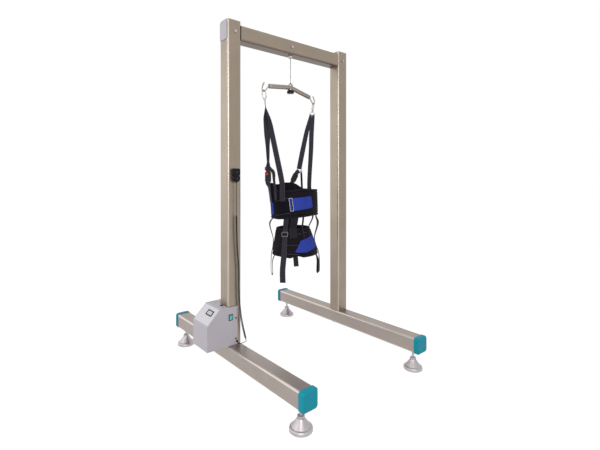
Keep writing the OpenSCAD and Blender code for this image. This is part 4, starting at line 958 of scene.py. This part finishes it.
# %% Strap routes
strap_routes = {
    "left_shoulder_strap": (
        [(-264.8, 6.6, 1786.5), (-263.1, 6.6, 1776.9), (-252, 14, 1700), (-236, 16, 1592),
         (-226, 21, 1510), (-211, 30, 1400), (-202.2, 38.3, 1356)], [20, 20, 38, 42, 30, 30, 34],
        [37, 37, -20, -53, -25, 10, -53]),
    "left_plain_strap": (
        [(-282.1, -6.6, 1783.4), (-280.4, -6.6, 1773.8), (-236, -8, 1673), (-214, -16, 1565),
         (-192, -38, 1415), (-172.8, -63.7, 1250), (-168.5, -62.7, 1190), (-167.2, -62.4, 1130)],
        [20, 20, 30, 36, 38, 40, 40, 40], [37, 37, -20, -50, -60, -75, -75, -75]),
    "buckle_strap": (
        [(-200, 40, 1262.7), (-200, 40, 1253), (-175.2, 51.3, 1222), (-170, 49, 1180),
         (-162.6, 45.7, 1120)], [36] * 5, [-53, -62, -110, -117, -117]),
    "tongue_strap": (
        [(-191.7, 33.7, 1356), (-177.3, 14.5, 1334), (-194, -10, 1270), (-179.9, -9.8, 1200),
         (-176.1, -10.1, 1140)], [24, 24, 20, 20, 20], [-53, -60, -85, -96, -96]),
    "right_plain_strap": (
        [(280, -8.8, 1783.8), (278.3, -8.8, 1774.2), (250, -14, 1680), (222, -26, 1507),
         (193.1, -30.2, 1240), (196.6, -30.3, 1180), (202, -30.5, 1120)],
        [20, 20, 38, 38, 38, 38, 38], [-53, -53, -70, -80, -91, -91, -91]),
    "right_shoulder_strap": (
        [(267, 8.8, 1786.1), (265.3, 8.8, 1776.5), (244, 28, 1664), (216, 50, 1502),
         (204, 68, 1392), (201.8, 73.3, 1361)], [20, 20, 34, 38, 38, 38], [-53] * 6),
    "grip_top_strap": (
        [(200.6, 72.4, 1346), (190.5, 86.2, 1334.8), (186.3, 87.9, 1326.5)], [34, 32, 32],
        [-53] * 3),
    "grip_foot_strap": (
        [(152.7, 101.1, 1261.5), (147.6, 103.1, 1251.5), (143.2, 94.4, 1222),
         (144.4, 95.7, 1160), (145.3, 96.7, 1110)], [32, 32, 36, 36, 36],
        [-53, -53, -40, -38, -38]),
    "slide_strap": (
        [(216.2, 63.7, 1349), (216.2, 63.7, 1331), (210, 56, 1290), (184.4, 32.5, 1190),
         (190, 34.7, 1120)], [16] * 5, [-53, -53, -58, -63, -63]),
    "left_link": (
        [(-142.4, -75.2, 1062), (-142.3, -75.1, 1010), (-120.3, -49.1, 936), (-122, -50.7, 922),
         (-125.4, -53.2, 904)], [36] * 5, [-67.2, -67.2, -70.6, -70.6, -70.6]),
    "front_link": (
        [(-107.7, -122.3, 1062), (-107.7, -122.3, 1010), (-91.1, -93.3, 936),
         (-92.2, -95.7, 922), (-99, -106.8, 872)], [52] * 5, [-43.9] * 5),
    "thin_link": (
        [(-56.6, -157.6, 1062), (-56.6, -157.6, 1010), (-26.9, -127.6, 936),
         (-26.9, -130.6, 922), (-27.7, -145, 872)], [14] * 5, [-22.9, -22.9, -14, -14, -14]),
    "right_link": (
        [(37, -171.6, 1062), (37, -171.6, 1010), (48.7, -127.6, 936), (50.2, -130.6, 922),
         (54.6, -141, 886)], [20] * 5, [5.2, 5.2, 14, 14, 14]),
    "back_link": (
        [(103.8, 100.3, 1062), (103.8, 100.3, 1010), (75.3, 88.7, 936), (77.2, 89.6, 922),
         (85.8, 96.2, 872)], [60] * 5, [153.4, 153.4, 155.2, 155.2, 155.2]),
    "long_tail": (
        [(-127.5, -52.2, 895), (-146.4, -62.2, 800), (-158.8, -66.8, 745), (-169, -65, 650),
         (-168, -66, 571)], [36, 38, 40, 40, 40], [-71, -70, -67, -63, -60]),
    "short_tail": (
        [(-93.3, -112, 800), (-100.6, -124.3, 745), (-106, -135.7, 682)], [34] * 3,
        [-47, -47, -46]),
    "left_thigh_loop": (
        [(-112.7, 69.4, 1055), (-112.5, 69.2, 1012), (-131.1, 84.9, 968), (-110, 70.2, 850),
         (-115.4, 72.3, 790), (-123, 76.8, 745), (-123, 76.8, 606), (-119.6, 73.9, 597),
         (-116.1, 71, 606), (-116.1, 71, 700), (-105.5, 62, 742), (-100.3, 59.5, 790)], [36] * 12,
        [-134.1, -130, -124, -132] + [-134.1] * 8),
    "right_thigh_loop": (
        [(114.9, -146.5, 1055), (115, -146.6, 1012), (122.5, -157.6, 968), (107, -138.1, 850),
         (116.5, -150.2, 790), (126.1, -163.1, 745), (126.1, -163.1, 609), (123.6, -159.4, 600),
         (121.1, -155.7, 609), (121.1, -155.7, 700), (113.6, -144.5, 742), (105.4, -133.8, 790)],
        [36] * 12, [30.3, 22, 8, 26, 30.3, 30.3, 12.3, 12.3, 12.3, 12.3, 30.3, 30.3]),
}
straps = {name: strap(name, *route) for name, route in strap_routes.items()}
for name in ("front_link", "thin_link", "right_link", "back_link", "short_tail", "slide_strap"):
    dress(straps[name], link_webbing)
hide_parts("webbing_straps")
print("straps", len(straps), "faces", sum(len(s.data.polygons) for s in straps.values()))

# %% [markdown]
# ## Floor, backdrop and light
# The photograph is cut out on white. The floor is pale and takes the object's shadow. The
# camera, and whatever mirrors the room, sees the world and the floor as white.
# Four soft lamps and an even sky light the object at a plain level: a very wide one behind on
# the left, which the posts' left faces mirror, a small one on the left and one in front, and a
# weak one on top.

# %% Floor
WHITE = (1, 1, 1, 1)
FLOOR_GLOW, SKY_LIGHT, SKY_SEEN = 0.71, 0.54, 1.0


def seen_white(tree):
    """1 for rays from the camera, mirrors and clear plastics, 0 for those that bring light."""
    ray = add(tree, "ShaderNodeLightPath").outputs
    seen = maths(tree, "MAXIMUM", ray["Is Camera Ray"], ray["Is Glossy Ray"])
    return maths(tree, "MAXIMUM", seen, ray["Is Transmission Ray"])


def floor_finish(name):
    made = bpy.data.materials.new(name)
    made.use_nodes = True
    tree = made.node_tree
    tree.nodes.clear()
    place = add(tree, "ShaderNodeTexCoord").outputs["Object"]
    pale = between(tree, noise(tree, place, 3.0), linear("bfbfbf"), linear("c4c4c4"))
    matt = add(tree, "ShaderNodeBsdfDiffuse", {}, {"Color": pale})
    glow = add(tree, "ShaderNodeEmission", {"Color": WHITE},
               {"Strength": spread(tree, seen_white(tree), 0.0, FLOOR_GLOW)})
    both = add(tree, "ShaderNodeAddShader", {}, {0: matt.outputs[0], 1: glow.outputs[0]})
    add(tree, "ShaderNodeOutputMaterial", {}, {"Surface": both.outputs[0]})
    return made


clear_choice()
bpy.ops.mesh.primitive_plane_add(size=60, location=(0, 0, -0.0005))
floor = bpy.context.object
floor.name = "studio_floor"
dress(floor, floor_finish("studio_floor_pale"))

# %% Sky and lamps
world = bpy.data.worlds.new("studio")
bpy.context.scene.world = world
world.use_nodes = True
sky = world.node_tree
sky.nodes.clear()
background = add(sky, "ShaderNodeBackground", {"Color": WHITE},
                 {"Strength": spread(sky, seen_white(sky), SKY_LIGHT, SKY_SEEN)})
add(sky, "ShaderNodeOutputWorld", {}, {"Surface": background.outputs[0]})


def lamp(name, place, aim, size, watts):
    """A round area lamp, size metres wide."""
    light = bpy.data.lights.new(name, "AREA")
    light.shape, light.size, light.energy = "DISK", size, watts
    made = bpy.data.objects.new(name, light)
    made.location = place
    made.rotation_euler = (Vector(aim) - Vector(place)).to_track_quat("-Z", "Y").to_euler()
    bpy.context.scene.collection.objects.link(made)


lamp("back_left_softbox", (-5.0, 6.0, 1.8), (0, 0, 1.2), 6.0, 75)
lamp("left_softbox", (-5.6, 1.0, 4.0), (-0.4, 0, 0.8), 2.0, 50)
lamp("front_softbox", (-3.3, -4.1, 2.3), (0, 0, 1.2), 2.6, 110)
lamp("top_softbox", (0.5, -0.8, 5.2), (0, 0, 1.0), 2.4, 26)
bpy.context.scene.view_settings.view_transform = "Standard"
